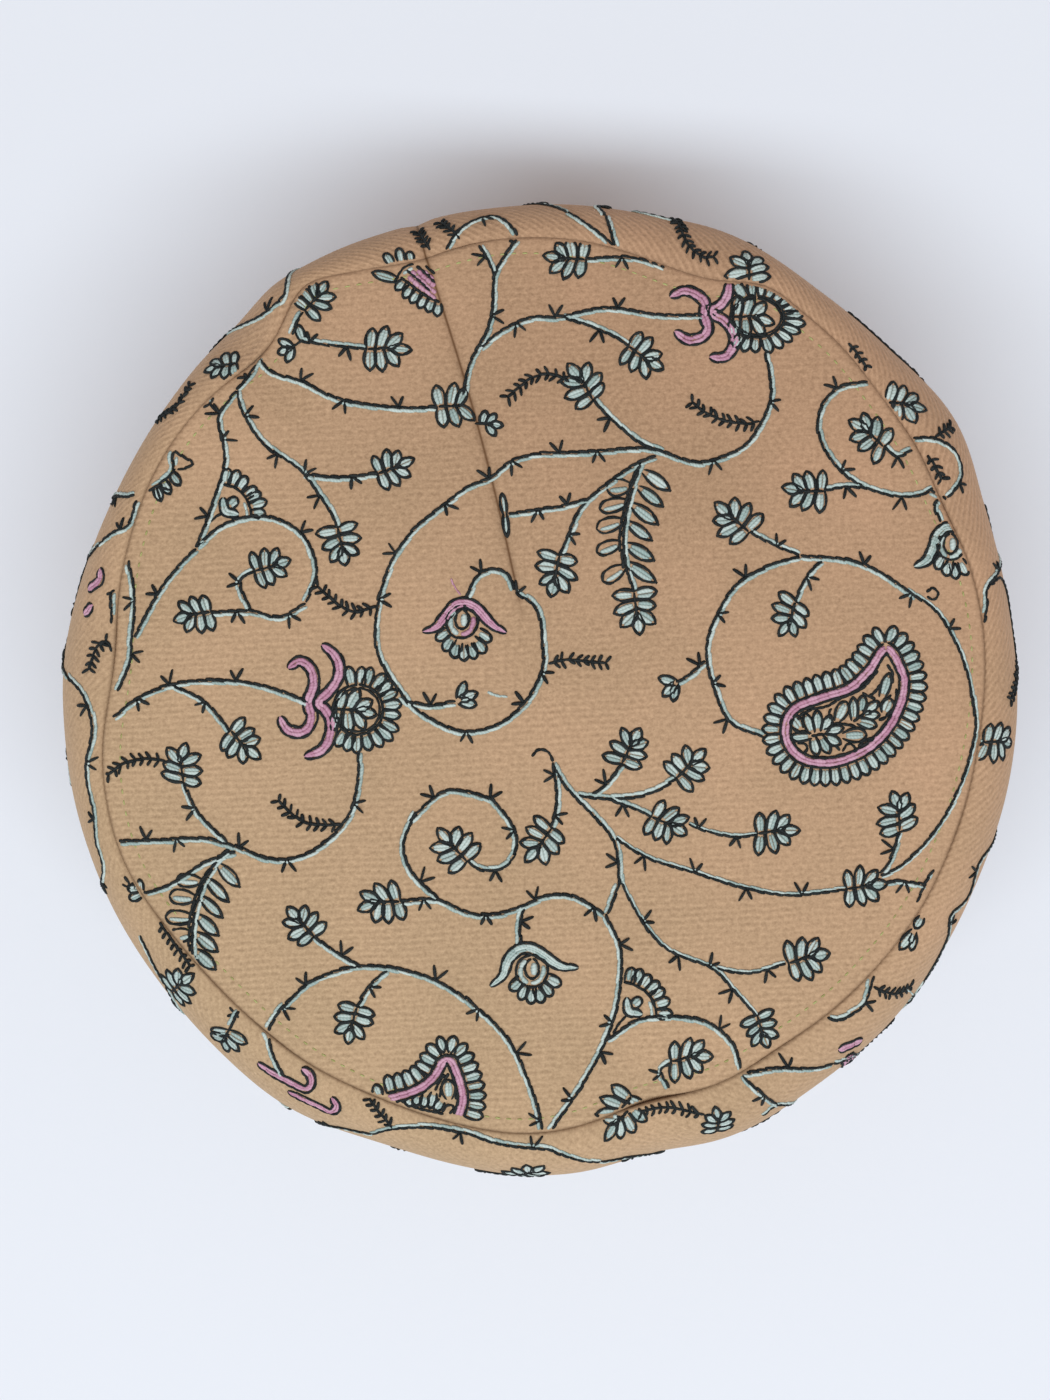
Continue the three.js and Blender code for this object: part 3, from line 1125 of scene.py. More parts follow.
dartStem = {
    "vines": [
        (1, (0.5, -0.97), [
            (463, 396), (470, 363), (487, 331), (493, 303), (494, 276), (506, 254), (517, 239),
        ]),
        (1, (-0.55,), [(494, 276), (486, 257), (477, 242)]),
        (-1, (0.05, -0.55), [(665, 267), (640, 259), (612, 257), (586, 259)]),
    ],
    "leaves": [
        ((585, 259), (545, 259)), ((438, 407), (482, 405), (0, 1, 2, 4, 5, 6)),
        ((474, 424), (502, 424), (2, 3, 4, 5)),
    ],
    "petals": [
        ((404, 281), (396, 290)), ((411, 287), (404, 298)), ((418, 292), (411, 303)),
        ((425, 297), (419, 308)), ((432, 300), (428, 312)), ((438, 303), (437, 316)),
        ((397, 280), (373, 273)),
    ],
    "loose": [
        ("pink", 1.0, [(408, 276), (422, 288), (436, 299)]),
        ("pink", 1.0, [(411, 271), (424, 283), (436, 293)]), ("pink", 1.0, [(417, 270), (435, 286)]),
        ("pink", 0.8, [(424, 270), (434, 279)]), ("aqua", 0.7, [(403, 274), (413, 268)]),
    ],
    "inks": [
        [(400, 277), (412, 286), (426, 296), (440, 302)], [(406, 270), (414, 276), (430, 291)],
        [(416, 266), (426, 273), (435, 283)], [(425, 265), (435, 274)],
        [(394, 282), (404, 268), (414, 264)],
    ],
}
dartLoop = {
    "vines": [
        (-1, (-0.145, 0.225, -0.33, 0.39, -0.5, 0.65, -0.755), [
            (664, 452), (640, 448), (600, 451), (562, 453), (535, 454), (510, 462), (490, 478),
            (468, 487), (437, 510), (413, 530), (392, 560), (380, 595), (375, 630), (381, 662),
            (409, 705),
        ]),
        (1, (0.285, -0.53, 0.66, 0.99), [
            (400, 695), (428, 717), (462, 731), (498, 724), (526, 701), (541, 672), (543, 648),
            (537, 610), (515, 592),
        ]),
        (-1, (0.6,), [(515, 590), (507, 574), (492, 569), (476, 577), (466, 598)]),
        (1, (-0.5,), [(405, 701), (430, 705), (456, 701)]),
    ],
    "ferns": [
        [(548, 664), (565, 660), (585, 661), (607, 663)],
        [(377, 606), (355, 612), (338, 604), (317, 586)],
    ],
    "petals": [((459, 699), (465, 682)), ((459, 700), (477, 693)), ((459, 701), (476, 705))],
    "lotuses": [
        (
            "pink",
            [
                (422, 632), (435, 628), (445, 617), (453, 607), (463, 603), (475, 607), (485, 617),
                (495, 627), (507, 633),
            ],
            (462, 622), 16,
            [(436, 640), (444, 651), (454, 658), (464, 661), (475, 659), (485, 653), (491, 641)],
        ),
    ],
}
compoundSpray = {
    "vines": [
        (-1, (-0.84,), [(656, 455), (632, 466), (605, 485), (582, 506), (569, 533), (560, 556)]),
        (-1, (0.27, -0.63), [(588, 498), (562, 506), (535, 510), (508, 514)]),
        (-1, (), [(641, 462), (632, 488), (625, 520), (623, 543), (626, 567), (634, 592)]),
        (0, (), [(637, 468), (629, 490), (622, 520), (620, 543), (624, 569)]),
    ],
    "leaves": [((634, 592), (640, 634)), ((559, 556), (552, 597))],
    "slips": [
        ((644, 472), (669, 490)), ((639, 488), (662, 506)), ((632, 505), (657, 524)),
        ((628, 523), (651, 540)), ((627, 545), (653, 560)), ((628, 564), (655, 582)),
    ],
    "rounds": [
        ((630, 486), (607, 489)), ((627, 502), (600, 509)), ((622, 521), (597, 529)),
        ((620, 543), (597, 552)), ((624, 567), (603, 581)),
    ],
    "slivers": [((505, 514), (502, 494)), ((505, 514), (507, 536))],
}
paisleyRight = {
    "vines": [
        (1, (-0.51, 0.95), [(800, 556), (845, 559), (880, 572), (917, 597)]),
        (-0.75, (-0.17,), [
            (906, 590), (935, 610), (953, 638), (966, 670), (974, 708), (974, 738), (958, 790),
            (935, 830), (905, 862), (880, 876),
        ]),
        (-1, (0.23, -0.41, -0.69, 0.84), [
            (800, 556), (768, 566), (737, 584), (717, 614), (706, 650), (715, 692), (731, 723),
            (764, 737),
        ]),
        (1, (0.45,), [(800, 555), (775, 546), (749, 532)]),
        (-1, (0.2,), [(705, 660), (690, 674), (676, 683)]),
        (-1, (-0.45,), [(822, 560), (809, 573), (799, 590), (795, 602)]),
        (1, (-0.6,), [(880, 874), (890, 858), (899, 831)]),
    ],
    "leaves": [((749, 532), (715, 505)), ((795, 602), (785, 638)), ((899, 831), (898, 790))],
    "paisleys": [
        (
            [
                (886, 648), (900, 667), (904, 690), (892, 722), (868, 748), (835, 762), (803, 759),
                (786, 738), (792, 711), (820, 698), (850, 688), (870, 669),
            ],
            True,
        ),
    ],
    "petals": [
        ((676, 683), (659, 678)), ((676, 683), (663, 696)), ((676, 683), (673, 701)),
        ((812, 733), (805, 714)), ((818, 731), (817, 711)), ((823, 732), (831, 716)),
        ((825, 732), (843, 728)), ((825, 736), (840, 744)), ((820, 737), (829, 753)),
        ((813, 738), (817, 755)), ((811, 736), (790, 738)), ((854, 720), (853, 698)),
        ((861, 713), (863, 696)), ((864, 713), (878, 702)), ((863, 715), (879, 715)),
        ((858, 721), (876, 726)), ((882, 697), (889, 674)),
    ],
    "ovals": [
        ((837, 721), (846, 702)), ((843, 736), (866, 735)), ((801, 729), (792, 717)),
        ((884, 713), (890, 699)),
    ],
    "inks": [
        [(811, 736), (820, 735), (829, 733)], [(853, 722), (861, 716), (868, 709)],
        [
            (796, 722), (802, 714), (813, 709), (828, 706), (842, 698), (856, 692), (868, 683),
            (878, 670),
        ],
        [(793, 729), (799, 732), (807, 731)], [(833, 722), (828, 714), (832, 708)],
        [(829, 723), (838, 724), (848, 725), (858, 728), (868, 728)],
        [(797, 744), (804, 743), (808, 749), (803, 753)], [(828, 748), (834, 745), (840, 751)],
        [(842, 752), (846, 745), (853, 745), (855, 750)], [(858, 747), (864, 741), (873, 738)],
        [(832, 757), (846, 755), (862, 748), (876, 737), (887, 722), (895, 704), (896, 688)],
        [(868, 697), (875, 692), (880, 684)], [(862, 692), (868, 696), (876, 699)],
        [(878, 720), (885, 718), (890, 711)], [(891, 694), (886, 700), (879, 705)],
        [(893, 684), (892, 672), (887, 664)],
        [(926, 592), (932, 588), (938, 594), (933, 600), (927, 596)],
    ],
}
rightCurl = {
    "vines": [
        (-1, (0.14, -0.55, 0.84), [
            (868, 381), (838, 388), (821, 408), (818, 433), (832, 461), (856, 483), (893, 496),
            (920, 495), (936, 486),
        ]),
        (1, (-0.5,), [(868, 489), (846, 487), (824, 491)]),
        (1, (-0.5,), [(912, 450), (897, 457), (883, 447)]),
        (-1, (0.25,), [(957, 512), (949, 503), (940, 499), (935, 507), (942, 522)]),
    ],
    "leaves": [((824, 491), (783, 491)), ((883, 447), (853, 417))],
    "lotuses": [
        (
            "aqua",
            [(914, 567), (926, 561), (933, 549), (937, 537), (945, 528), (954, 528), (960, 536)],
            (951, 546), 14, [(936, 569), (946, 576), (956, 579), (967, 575)],
        ),
    ],
}
leftBranch = {
    "vines": [
        (1, (-0.27, 0.52, -0.8), [
            (258, 355), (270, 370), (302, 381), (340, 399), (395, 407), (438, 407),
        ]),
        (-1, (0.6,), [(258, 355), (250, 372), (236, 390)]),
        (-1, (-0.16, 0.45, -0.64, 0.79), [
            (236, 390), (243, 413), (263, 443), (300, 470), (318, 493), (332, 514), (338, 528),
        ]),
        (1, (0.65,), [(303, 474), (340, 477), (378, 473)]),
        (-1, (0.17, -0.33, 0.8), [
            (236, 390), (219, 416), (222, 440), (224, 464), (213, 502), (196, 548),
        ]),
        (-1, (0.7, -0.15), [(300, 342), (335, 346), (367, 349)]),
        (-1, (), [(293, 336), (298, 322), (303, 312)]),
    ],
    "leaves": [
        ((338, 528), (346, 566)), ((378, 473), (413, 462)), ((367, 349), (412, 348)),
        ((305, 340), (280, 356), (0, 2, 3, 4)), ((306, 311), (328, 283)),
        ((217, 412), (200, 393), (2, 3, 4)),
    ],
}
leftSpiral = {
    "vines": [
        (1, (-0.61,), [(196, 548), (224, 524), (266, 516), (302, 534), (317, 570), (306, 603)]),
        (-1, (-0.2, -0.73), [(306, 603), (280, 617), (252, 611), (210, 612)]),
        (-1, (-0.6,), [(252, 610), (241, 590), (242, 578), (255, 571)]),
        (-1, (0.55,), [(196, 548), (175, 570), (154, 600), (134, 638)]),
        (1, (0.3, -0.7), [(128, 560), (133, 585), (134, 612), (131, 640), (130, 660), (118, 692)]),
    ],
    "leaves": [((210, 612), (174, 617)), ((255, 571), (290, 561))],
    "fans": [((219, 516), 48, 33, 11, 87, 7)],
    "inks": [[(222, 514), (214, 518), (205, 528)]],
}
leftFlower = {
    "vines": [
        (1, (0.15, -0.32, -0.64), [
            (113, 718), (135, 700), (168, 685), (205, 680), (245, 682), (278, 690), (309, 702),
        ]),
        (1, (0.5,), [(172, 685), (202, 699), (220, 717), (231, 731)]),
        (-1, (-0.26, -0.72, 0.97), [
            (358, 752), (358, 780), (350, 812), (330, 838), (300, 856), (270, 858), (234, 845),
        ]),
    ],
    "leaves": [((231, 731), (257, 760))],
    "ferns": [[(342, 824), (322, 825), (300, 820), (278, 800)]],
    "horns": [
        (1.55, [
            (288, 669), (299, 661), (309, 666), (314, 677), (313, 689), (308, 702), (312, 716),
            (308, 728), (298, 733), (286, 728), (280, 716),
        ]),
        (1.55, [
            (321, 645), (332, 652), (339, 664), (338, 678), (330, 691), (319, 702), (326, 711),
            (331, 723), (330, 737), (322, 750), (304, 757),
        ]),
    ],
    "blooms": [((358, 710), 44, 25, -14, 212, 15)],
}
leftFork = {
    "vines": [
        (-1, (-0.49, 0.74), [(236, 846), (205, 838), (165, 839), (115, 841)]),
        (-1, (-0.62,), [(228, 842), (205, 820), (193, 803), (184, 782)]),
        (-1, (), [(236, 851), (205, 862), (172, 883), (146, 893)]),
        (-1, (), [(230, 848), (217, 861), (203, 885), (195, 912), (192, 945), (195, 970)]),
        (0, (), [(210, 867), (200, 885), (192, 910), (189, 935), (190, 955)]),
    ],
    "leaves": [((184, 782), (177, 743)), ((148, 893), (128, 885), (1, 2, 3, 4))],
    "ferns": [[(166, 761), (145, 759), (125, 763), (108, 775)]],
    "slips": [
        ((219, 865), (239, 886)), ((207, 879), (228, 901)), ((201, 897), (222, 917)),
        ((198, 916), (218, 935)), ((196, 934), (217, 951)), ((196, 951), (215, 969)),
    ],
    "rounds": [
        ((201, 881), (177, 880)), ((195, 898), (170, 896)), ((193, 918), (166, 917)),
        ((192, 934), (169, 937)),
    ],
}
midSpray = {
    "vines": [
        (-1, (0.2, -0.8), [(552, 762), (556, 785), (556, 808), (551, 828)]),
        (-1, (0.83,), [(553, 765), (567, 788), (602, 825), (616, 848), (620, 887)]),
        (-0.75, (-0.26, 0.5, -0.66, 0.82), [
            (617, 875), (640, 918), (668, 950), (712, 968), (735, 992), (757, 1016),
        ]),
        (1, (), [(619, 884), (608, 915)]),
        (-0.8, (0.72,), [(716, 969), (750, 973), (786, 963)]),
        (-1, (), [(577, 796), (610, 799), (640, 796), (660, 789), (678, 778)]),
        (1, (-0.4,), [(592, 796), (608, 782), (622, 763)]),
        (-1, (0.3,), [(610, 800), (635, 809), (652, 817)]),
        (-0.72, (-0.15, 0.7), [(688, 825), (712, 833), (738, 837), (758, 834)]),
        (-0.72, (0.14, -0.36, 0.58, -0.81), [
            (615, 838), (648, 858), (695, 873), (745, 888), (790, 895), (847, 889),
        ]),
    ],
    "leaves": [
        ((551, 828), (529, 862)), ((757, 1016), (767, 1048)), ((789, 963), (828, 950)),
        ((677, 778), (704, 751)), ((622, 763), (640, 729)), ((652, 817), (688, 832)),
        ((758, 834), (797, 827)), ((847, 889), (884, 882)),
    ],
    "inks": [[(532, 757), (538, 750), (548, 752), (553, 762)]],
}
midSpiral = {
    "vines": [
        (-1, (0.25, -0.66), [(467, 861), (482, 870), (503, 868), (516, 850), (513, 826), (490, 796)]),
        (-1, (0.05, 0.65), [(495, 800), (465, 791), (440, 793), (409, 822)]),
        (1, (-0.75,), [(416, 811), (404, 845), (413, 873), (440, 899)]),
        (1, (0.11, 0.41, -0.65, 0.94), [
            (400, 901), (436, 899), (468, 912), (496, 914), (522, 906), (545, 896), (573, 896),
            (605, 914),
        ]),
        (1, (-0.4,), [(524, 906), (520, 925), (521, 946)]),
        (1, (-0.14, 0.47, -0.6, 0.83), [
            (605, 914), (620, 945), (621, 980), (612, 1025), (588, 1075), (550, 1132),
        ]),
    ],
    "leaves": [((467, 861), (437, 830)), ((400, 901), (358, 902))],
    "lotuses": [
        (
            "aqua",
            [
                (490, 987), (503, 975), (508, 960), (518, 950), (530, 948), (545, 956), (560, 966),
                (579, 968),
            ],
            (532, 971), 16, [(510, 990), (520, 1000), (531, 1004), (542, 1003), (552, 996), (561, 985)],
        ),
    ],
}
fanArch = {
    "vines": [
        (1, (-0.65,), [
            (606, 1040), (640, 1019), (678, 1016), (710, 1023), (733, 1044), (741, 1069), (746, 1086),
        ]),
        (-1, (-0.5,), [(670, 1089), (661, 1071), (672, 1062)]),
    ],
    "leaves": [((672, 1062), (711, 1050))],
    "fans": [((623, 1016), 49, 34, 6, 86, 7)],
    "inks": [[(626, 1016), (620, 1023), (613, 1034)]],
}
bottomPaisley = {
    "vines": [
        (-1, (-0.03, 0.23, -0.39, 0.53, 0.9, -0.99), [
            (543, 1131), (533, 1092), (510, 1042), (478, 1008), (440, 982), (398, 968), (355, 966),
            (310, 982), (280, 1010),
        ]),
        (1, (), [(285, 1004), (279, 1012), (271, 1024), (267, 1036), (267, 1048)]),
        (-1, (-0.5,), [(387, 969), (370, 985), (357, 1007)]),
        (-1, (0.4,), [(362, 966), (338, 953), (314, 936)]),
    ],
    "leaves": [((357, 1007), (346, 1043)), ((314, 936), (288, 909))],
    "paisleys": [
        (
            [(388, 1098), (412, 1092), (432, 1079), (447, 1058), (458, 1076), (463, 1098), (459, 1116)],
            False,
        ),
    ],
    "petals": [
        ((380, 1096), (375, 1085)), ((419, 1096), (415, 1105)), ((426, 1096), (423, 1107)),
        ((434, 1093), (430, 1108)), ((442, 1101), (435, 1110)), ((411, 1100), (407, 1105)),
    ],
    "ovals": [((449, 1099), (448, 1080))],
    "inks": [
        [(440, 1098), (442, 1085), (449, 1073)], [(435, 1091), (439, 1082), (445, 1074)],
        [(456, 1100), (456, 1088), (452, 1076)], [(442, 1113), (448, 1105), (454, 1108), (449, 1114)],
        [(455, 1113), (458, 1106), (457, 1100)], [(437, 1113), (441, 1108)],
        [(400, 1100), (412, 1106), (428, 1111), (444, 1114)],
    ],
}
leftPennant = {
    "vines": [
        (-1, (0.25,), [(143, 493), (153, 489), (165, 480), (174, 469), (172, 460), (174, 451)]),
        (0, (), [(174, 451), (185, 458), (194, 464), (186, 468), (177, 470)]),
    ],
    "petals": [((156, 487), (161, 501)), ((163, 481), (170, 494)), ((171, 473), (180, 485))],
    "loose": [("aqua", 0.7, [(175, 466), (176, 456)])],
}
rightSprout = {
    "vines": [
        (1, (0.45,), [(886, 883), (897, 880), (911, 882), (927, 885)]),
        (0, (), [(934, 869), (927, 879), (922, 889), (917, 903)]),
    ],
    "loose": [("aqua", 0.6, [(928, 880), (932, 873)])],
}
looseEnds = {
    "loose": [
        ("pink", 0.35, [(461, 595), (455, 588), (451, 578)]),
        ("aqua", 0.55, [(487, 692), (497, 696), (508, 697)]),
    ],
}
# Motifs that lie across the seam, so each cloth has its own part of them
acrossSeam = {
    "vines": [(1, (), [(930, 491), (939, 494), (947, 499)])],
    "leaves": [((631, 1097), (603, 1131))],
}
crownClusters = [
    topFlower, dartStem, dartLoop, compoundSpray, paisleyRight, rightCurl, leftBranch, leftSpiral,
    leftFlower, leftFork, midSpray, midSpiral, fanArch, bottomPaisley, leftPennant, rightSprout,
    looseEnds, acrossSeam,
]
# What shows of the band's embroidery round the crown
shoulderMotifs = {
    "vines": [
        (1, (0.5,), [
            (446, 250), (452, 240), (465, 228), (480, 220), (495, 217), (507, 223), (518, 236),
        ]),
        (1, (), [(567, 213), (592, 228), (618, 250), (638, 260)]),
        (-1, (), [(605, 216), (612, 238), (617, 248)]),
        (1, (-0.8,), [
            (908, 440), (925, 438), (940, 442), (955, 453), (962, 468), (961, 482), (948, 498),
        ]),
        (1, (0.5,), [(993, 540), (997, 555), (990, 583), (987, 605), (984, 625)]),
        (0, (), [(990, 585), (1000, 578), (1005, 588)]),
        (-1, (), [(975, 745), (984, 743)]),
        (-1, (0.4, -0.7), [(997, 820), (982, 858), (968, 895), (950, 915), (945, 940), (925, 980)]),
        (-1, (0.6,), [(827, 1018), (840, 1020), (853, 1013), (865, 1003), (873, 975)]),
        (1, (-0.5,), [(738, 1067), (748, 1072), (780, 1068), (820, 1067), (833, 1063)]),
        (1, (0.5,), [(738, 1066), (747, 1080), (760, 1092), (780, 1105)]),
        (-1, (), [(762, 1116), (780, 1105), (797, 1095)]),
        (1, (0.3, -0.6), [
            (600, 1159), (558, 1152), (545, 1148), (500, 1144), (465, 1133), (425, 1127), (390, 1129),
            (372, 1133),
        ]),
        (1, (), [(268, 1024), (269, 1034), (271, 1048), (275, 1060), (285, 1077)]),
        (1, (), [(140, 935), (147, 950), (165, 985)]),
        (-1, (0.16, -0.36, 0.55, -0.8), [
            (68, 676), (80, 690), (90, 712), (93, 735), (88, 760), (88, 782), (94, 812), (96, 840),
            (103, 872), (110, 893),
        ]),
        (1, (-0.5,), [(100, 545), (115, 532), (128, 525), (137, 500)]),
        (-1, (0.5,), [(114, 499), (125, 497), (135, 494)]),
        (1, (), [(239, 1010), (235, 1018), (231, 1027)]),
        (1, (), [(112, 624), (111, 608), (111, 592)]),
        (1, (-0.4,), [(225, 330), (255, 318), (282, 303), (288, 288), (300, 272)]),
        (1, (), [(632, 212), (655, 216), (676, 221)]),
        (0, (0.95,), [(848, 310), (875, 334), (900, 357), (908, 372)]),
    ],
    "leaves": [
        ((748, 285), (745, 248)), ((885, 403), (925, 410)), ((984, 743), (1012, 737)),
        ((717, 1131), (718, 1107)), ((233, 1023), (222, 1052), (1, 2, 3, 4, 5)),
        ((172, 992), (195, 970)), ((235, 362), (205, 370)),
    ],
    "ferns": [
        [(430, 250), (424, 240), (418, 231)], [(460, 240), (450, 231), (441, 225)],
        [(848, 343), (857, 354), (866, 367)], [(927, 455), (934, 466), (942, 480)],
        [(672, 218), (685, 240), (703, 257), (715, 257)], [(933, 438), (941, 433), (949, 428)],
        [(1016, 660), (1015, 680), (1010, 700)], [(873, 987), (885, 992), (897, 993), (910, 985)],
        [(705, 1115), (670, 1108), (640, 1112)], [(394, 1128), (383, 1116), (375, 1106), (369, 1098)],
        [(159, 922), (172, 940), (184, 957), (191, 967)],
        [(112, 652), (110, 645), (104, 641), (97, 645), (92, 656), (89, 670)],
        [(155, 423), (175, 408), (190, 385)],
    ],
    "horns": [
        (1.15, [
            (257, 1063), (272, 1073), (290, 1082), (305, 1089), (312, 1083), (309, 1073), (301, 1069),
        ]),
        (1.15, [(288, 1090), (303, 1098), (318, 1105), (331, 1111), (337, 1105), (331, 1097)]),
        (1.55, [(838, 1050), (850, 1045), (862, 1039)]),
        (1.55, [(841, 1062), (846, 1056), (853, 1052)]), (1.55, [(88, 590), (100, 580), (100, 568)]),
        (1.55, [(83, 615), (92, 605)]),
    ],
    "petals": [
        ((393, 266), (385, 254)), ((402, 264), (399, 249)), ((411, 262), (409, 252)),
        ((922, 917), (915, 928)), ((914, 931), (900, 949)), ((914, 934), (911, 950)),
        ((143, 893), (130, 899)), ((141, 889), (128, 888)),
    ],
    "loose": [("aqua", 0.35, [(905, 988), (911, 994), (909, 1003)])],
    "inks": [
        [(229, 1007), (234, 1012), (239, 1018)], [(227, 1017), (233, 1014), (238, 1011)],
        [(124, 876), (129, 882), (130, 888)], [(137, 874), (133, 881), (131, 887)],
        [(122, 884), (131, 888), (139, 886)], [(106, 595), (111, 593), (115, 590)],
    ],
}
# A short spray that fills gaps on the band
smallSpray = {
    "vines": [(1, (0.35, -0.7), [(0, 60), (10, 36), (14, 8), (6, -18)])],
    "leaves": [((6, -18), (-2, -54))],
    "ferns": [[(13, 14), (28, 4), (44, 2), (60, 8)]],
}
# Vines that carry on from the ones round the crown, in millimetres along and down the band
bandLinks = {
    "vines": [
        (1, (0.4,), [(5, 7.4), (0, 14), (-4, 22), (-2, 29)]),
        (-1, (0.3, -0.7), [(12.5, 7.9), (11, 15), (14, 23), (21, 28)]),
        (1, (0.5,), [(117.5, 19.7), (114, 27), (109, 32), (103, 34)]),
        (-1, (), [(127.3, 13.2), (131, 17), (137, 18)]),
        (1, (-0.5,), [(173.7, 22.8), (172, 29), (176, 36)]),
        (1, (0.3,), [(208.5, 16.5), (214, 20), (216, 27)]),
        (-1, (0.4, -0.7), [(233, 9.5), (229, 15), (230, 22), (236, 27)]),
        (1, (-0.4,), [(242.3, 23.9), (241, 31), (245, 38), (252, 43)]),
        (1, (0.3, -0.6), [(283.7, 9.1), (277, 13), (273, 20), (276, 28)]),
        (-1, (0.5,), [(329.7, 9.8), (336, 13), (340, 19), (341, 25)]),
        (1, (0.6,), [(346, 17), (349, 23), (356, 28)]),
        (-1, (0.5,), [(380.5, 10.5), (375, 16), (374, 24)]),
        (1, (-0.4,), [(401.7, 22.8), (408, 26), (416, 25)]),
        (-1, (0.3, -0.7), [(445.8, 11), (449, 18), (456, 23), (464, 23)]),
        (1, (-0.5,), [(472.8, 9.2), (470, 16), (473, 24), (480, 29)]),
        (-1, (0.5,), [(483.6, 20.8), (482, 29), (477, 36)]),
        (1, (0.5,), [(522.9, 16.3), (517, 21), (515, 29)]),
        (-1, (-0.4,), [(541.5, 18.3), (547, 23), (549, 31)]),
        (1, (-0.5, 0.8), [(60, 19), (56, 23), (58, 30), (64, 34), (72, 34)]),
        (-1, (0.3, -0.7), [(300, 14), (306, 18), (309, 26), (305, 33)]),
        (1, (0.4,), [(424, 19), (430, 22), (432, 29)]),
    ],
    "leaves": [
        ((-2, 29), (3, 35)), ((21, 28), (28, 31)), ((137, 18), (144, 20)), ((176, 36), (181, 42)),
        ((216, 27), (213, 35)), ((236, 27), (243, 30)), ((276, 28), (281, 34)), ((341, 25), (338, 33)),
        ((356, 28), (363, 32)), ((374, 24), (377, 32)), ((416, 25), (424, 27)), ((464, 23), (472, 26)),
        ((480, 29), (487, 33)), ((515, 29), (519, 36)), ((549, 31), (545, 38)), ((300, 14), (295, 8)),
        ((432, 29), (428, 36)),
    ],
    "ferns": [
        [(57, 24), (51, 25), (46, 23), (42, 19)], [(449, 18), (445, 24), (439, 27)],
        [(309, 24), (315, 26), (320, 24), (324, 20)], [(114, 27), (119, 31), (121, 37)],
        [(230, 20), (224, 22), (219, 20)],
    ],
}
chartScale = 0.188  # millimetres in a pixel of the chart
# Where clusters are sewn again lower on the band, out of the camera's sight: the chart point that is set
# down, its place along and down the band in millimetres, and the turn in degrees, 180 being upright
bandPlaces = [
    (dartLoop, (490, 590), (34, 53), 184),
    (rightCurl, (870, 460), (72, 33), 200),
    (leftBranch, (317, 420), (93, 60), 176),
    (compoundSpray, (580, 540), (127, 31), 170),
    (paisleyRight, (825, 690), (158, 53), 92),
    (fanArch, (660, 1050), (202, 32), 185),
    (leftFlower, (255, 750), (222, 57), 176),
    (rightCurl, (870, 460), (258, 34), 30),
    (midSpray, (730, 890), (292, 55), 184),
    (smallSpray, (0, 0), (323, 36), 172),
    (bottomPaisley, (405, 1020), (354, 58), 176),
    (topFlower, (640, 365), (404, 64), 186),
    (leftFork, (180, 850), (401, 36), 266),
    (midSpiral, (490, 960), (460, 53), 180),
    (fanArch, (660, 1050), (440, 32), 60),
    (paisleyRight, (825, 690), (521, 53), 268),
    (leftSpiral, (220, 600), (575, 62), 170),
]
# Where more short sprays lie, and their turns
sprayPlaces = [
    ((190, 70), 95), ((252, 70), 215), ((322, 72), 150), ((366, 38), 60), ((374, 72), 160),
    ((478, 72), 200), ((503, 71), 145), ((447, 71), 155), ((430, 66), 190), ((488, 30), 240),
    ((560, 32), 150), ((2, 34), 205), ((66, 70), 160), ((122, 72), 200),
]
bandPlaces += [(smallSpray, (0, 0), at, turn) for at, turn in sprayPlaces]


# Where a pixel's ray meets the crown: the height under it is found again from each place it meets
def crownPlace(pixels, rounds=3):
    flat = throughPixel(pixels, cap["top"])
    for _ in range(rounds):
        flat = throughPixel(pixels, crownHeight(flat[..., 0], flat[..., 1], plain=True))
    return flat


# Where a pixel's ray meets the band: the drop at which the outline is nearest to the ray
def shoulderPlace(pixels, guess=70.0, steps=400, past=1.05, rounds=2):
    pixels = np.asarray(pixels, float)
    drop = np.linspace(0, shoulderRun[-1] * past, steps)
    hit = throughPixel(pixels, guess)
    for _ in range(rounds):
        bearing = bearingOf(hit[:, 0], hit[:, 1])
        radius, height = bandOutline(bearing[:, None], drop)
        ray = throughPixel(pixels[:, None], height)
        best = np.abs(np.hypot(ray[..., 0], ray[..., 1]) - radius).argmin(1)
        hit = ray[np.arange(len(best)), best]
    bearing = bearingOf(hit[:, 0], hit[:, 1])
    bearing = bearing[0] + turnFrom(bearing[0], bearing)
    return np.stack([bearing * capForm["girth"], drop[best]], -1)


# Places that are charted on the band itself
def onBand(places):
    return np.asarray(places, float)


# Sets chart points down on the band: scaled, turned about one point and moved
def bandPlace(point, at, turn):
    angle = np.radians(turn)
    spin = np.array([[np.cos(angle), np.sin(angle)], [-np.sin(angle), np.cos(angle)]])

    def place(pixels):
        off = (np.asarray(pixels, float) - point) * [chartScale, -chartScale]
        return off @ spin + at

    return place


edgeClear = {"seam": 0.3, "rim": 2.0, "shortest": 0.3}  # millimetres, and a share of a stitch


# How far points on the flat cloth lie inside the line where its stitches end
def crownRoom(flat):
    edge = cap["edge"](bearingOf(flat[..., 0], flat[..., 1]))
    return edge - edgeClear["seam"] - np.hypot(flat[..., 0], flat[..., 1])


def bandRoom(flat):
    return np.minimum(flat[..., 1] - edgeClear["seam"], bandDrop - edgeClear["rim"] - flat[..., 1])


# Points at shares of the way along stitches: the parabola through each one's start, middle and end
def alongStitch(rows, share):
    start, middle, end = rows[:, None, 0:2], rows[:, None, 2:4], rows[:, None, 4:6]
    bend = 2 * middle - (start + end) / 2
    t = share[..., None]
    return (1 - t) ** 2 * start + 2 * t * (1 - t) * bend + t ** 2 * end


# Stitches that run off the cloth are cut at its edge, and left out where little of them remains
def trimmed(rows, room, steps=21):
    share = np.linspace(0, 1, steps)
    inside = room(alongStitch(rows, share)) > 0
    first = share[inside.argmax(1)]
    last = share[::-1][inside[:, ::-1].argmax(1)]
    cut = alongStitch(rows, np.stack([first, (first + last) / 2, last], -1))
    kept = inside.any(1) & (last - first > edgeClear["shortest"])
    return np.column_stack([cut.reshape(-1, 6), rows[:, 6:]])[kept]


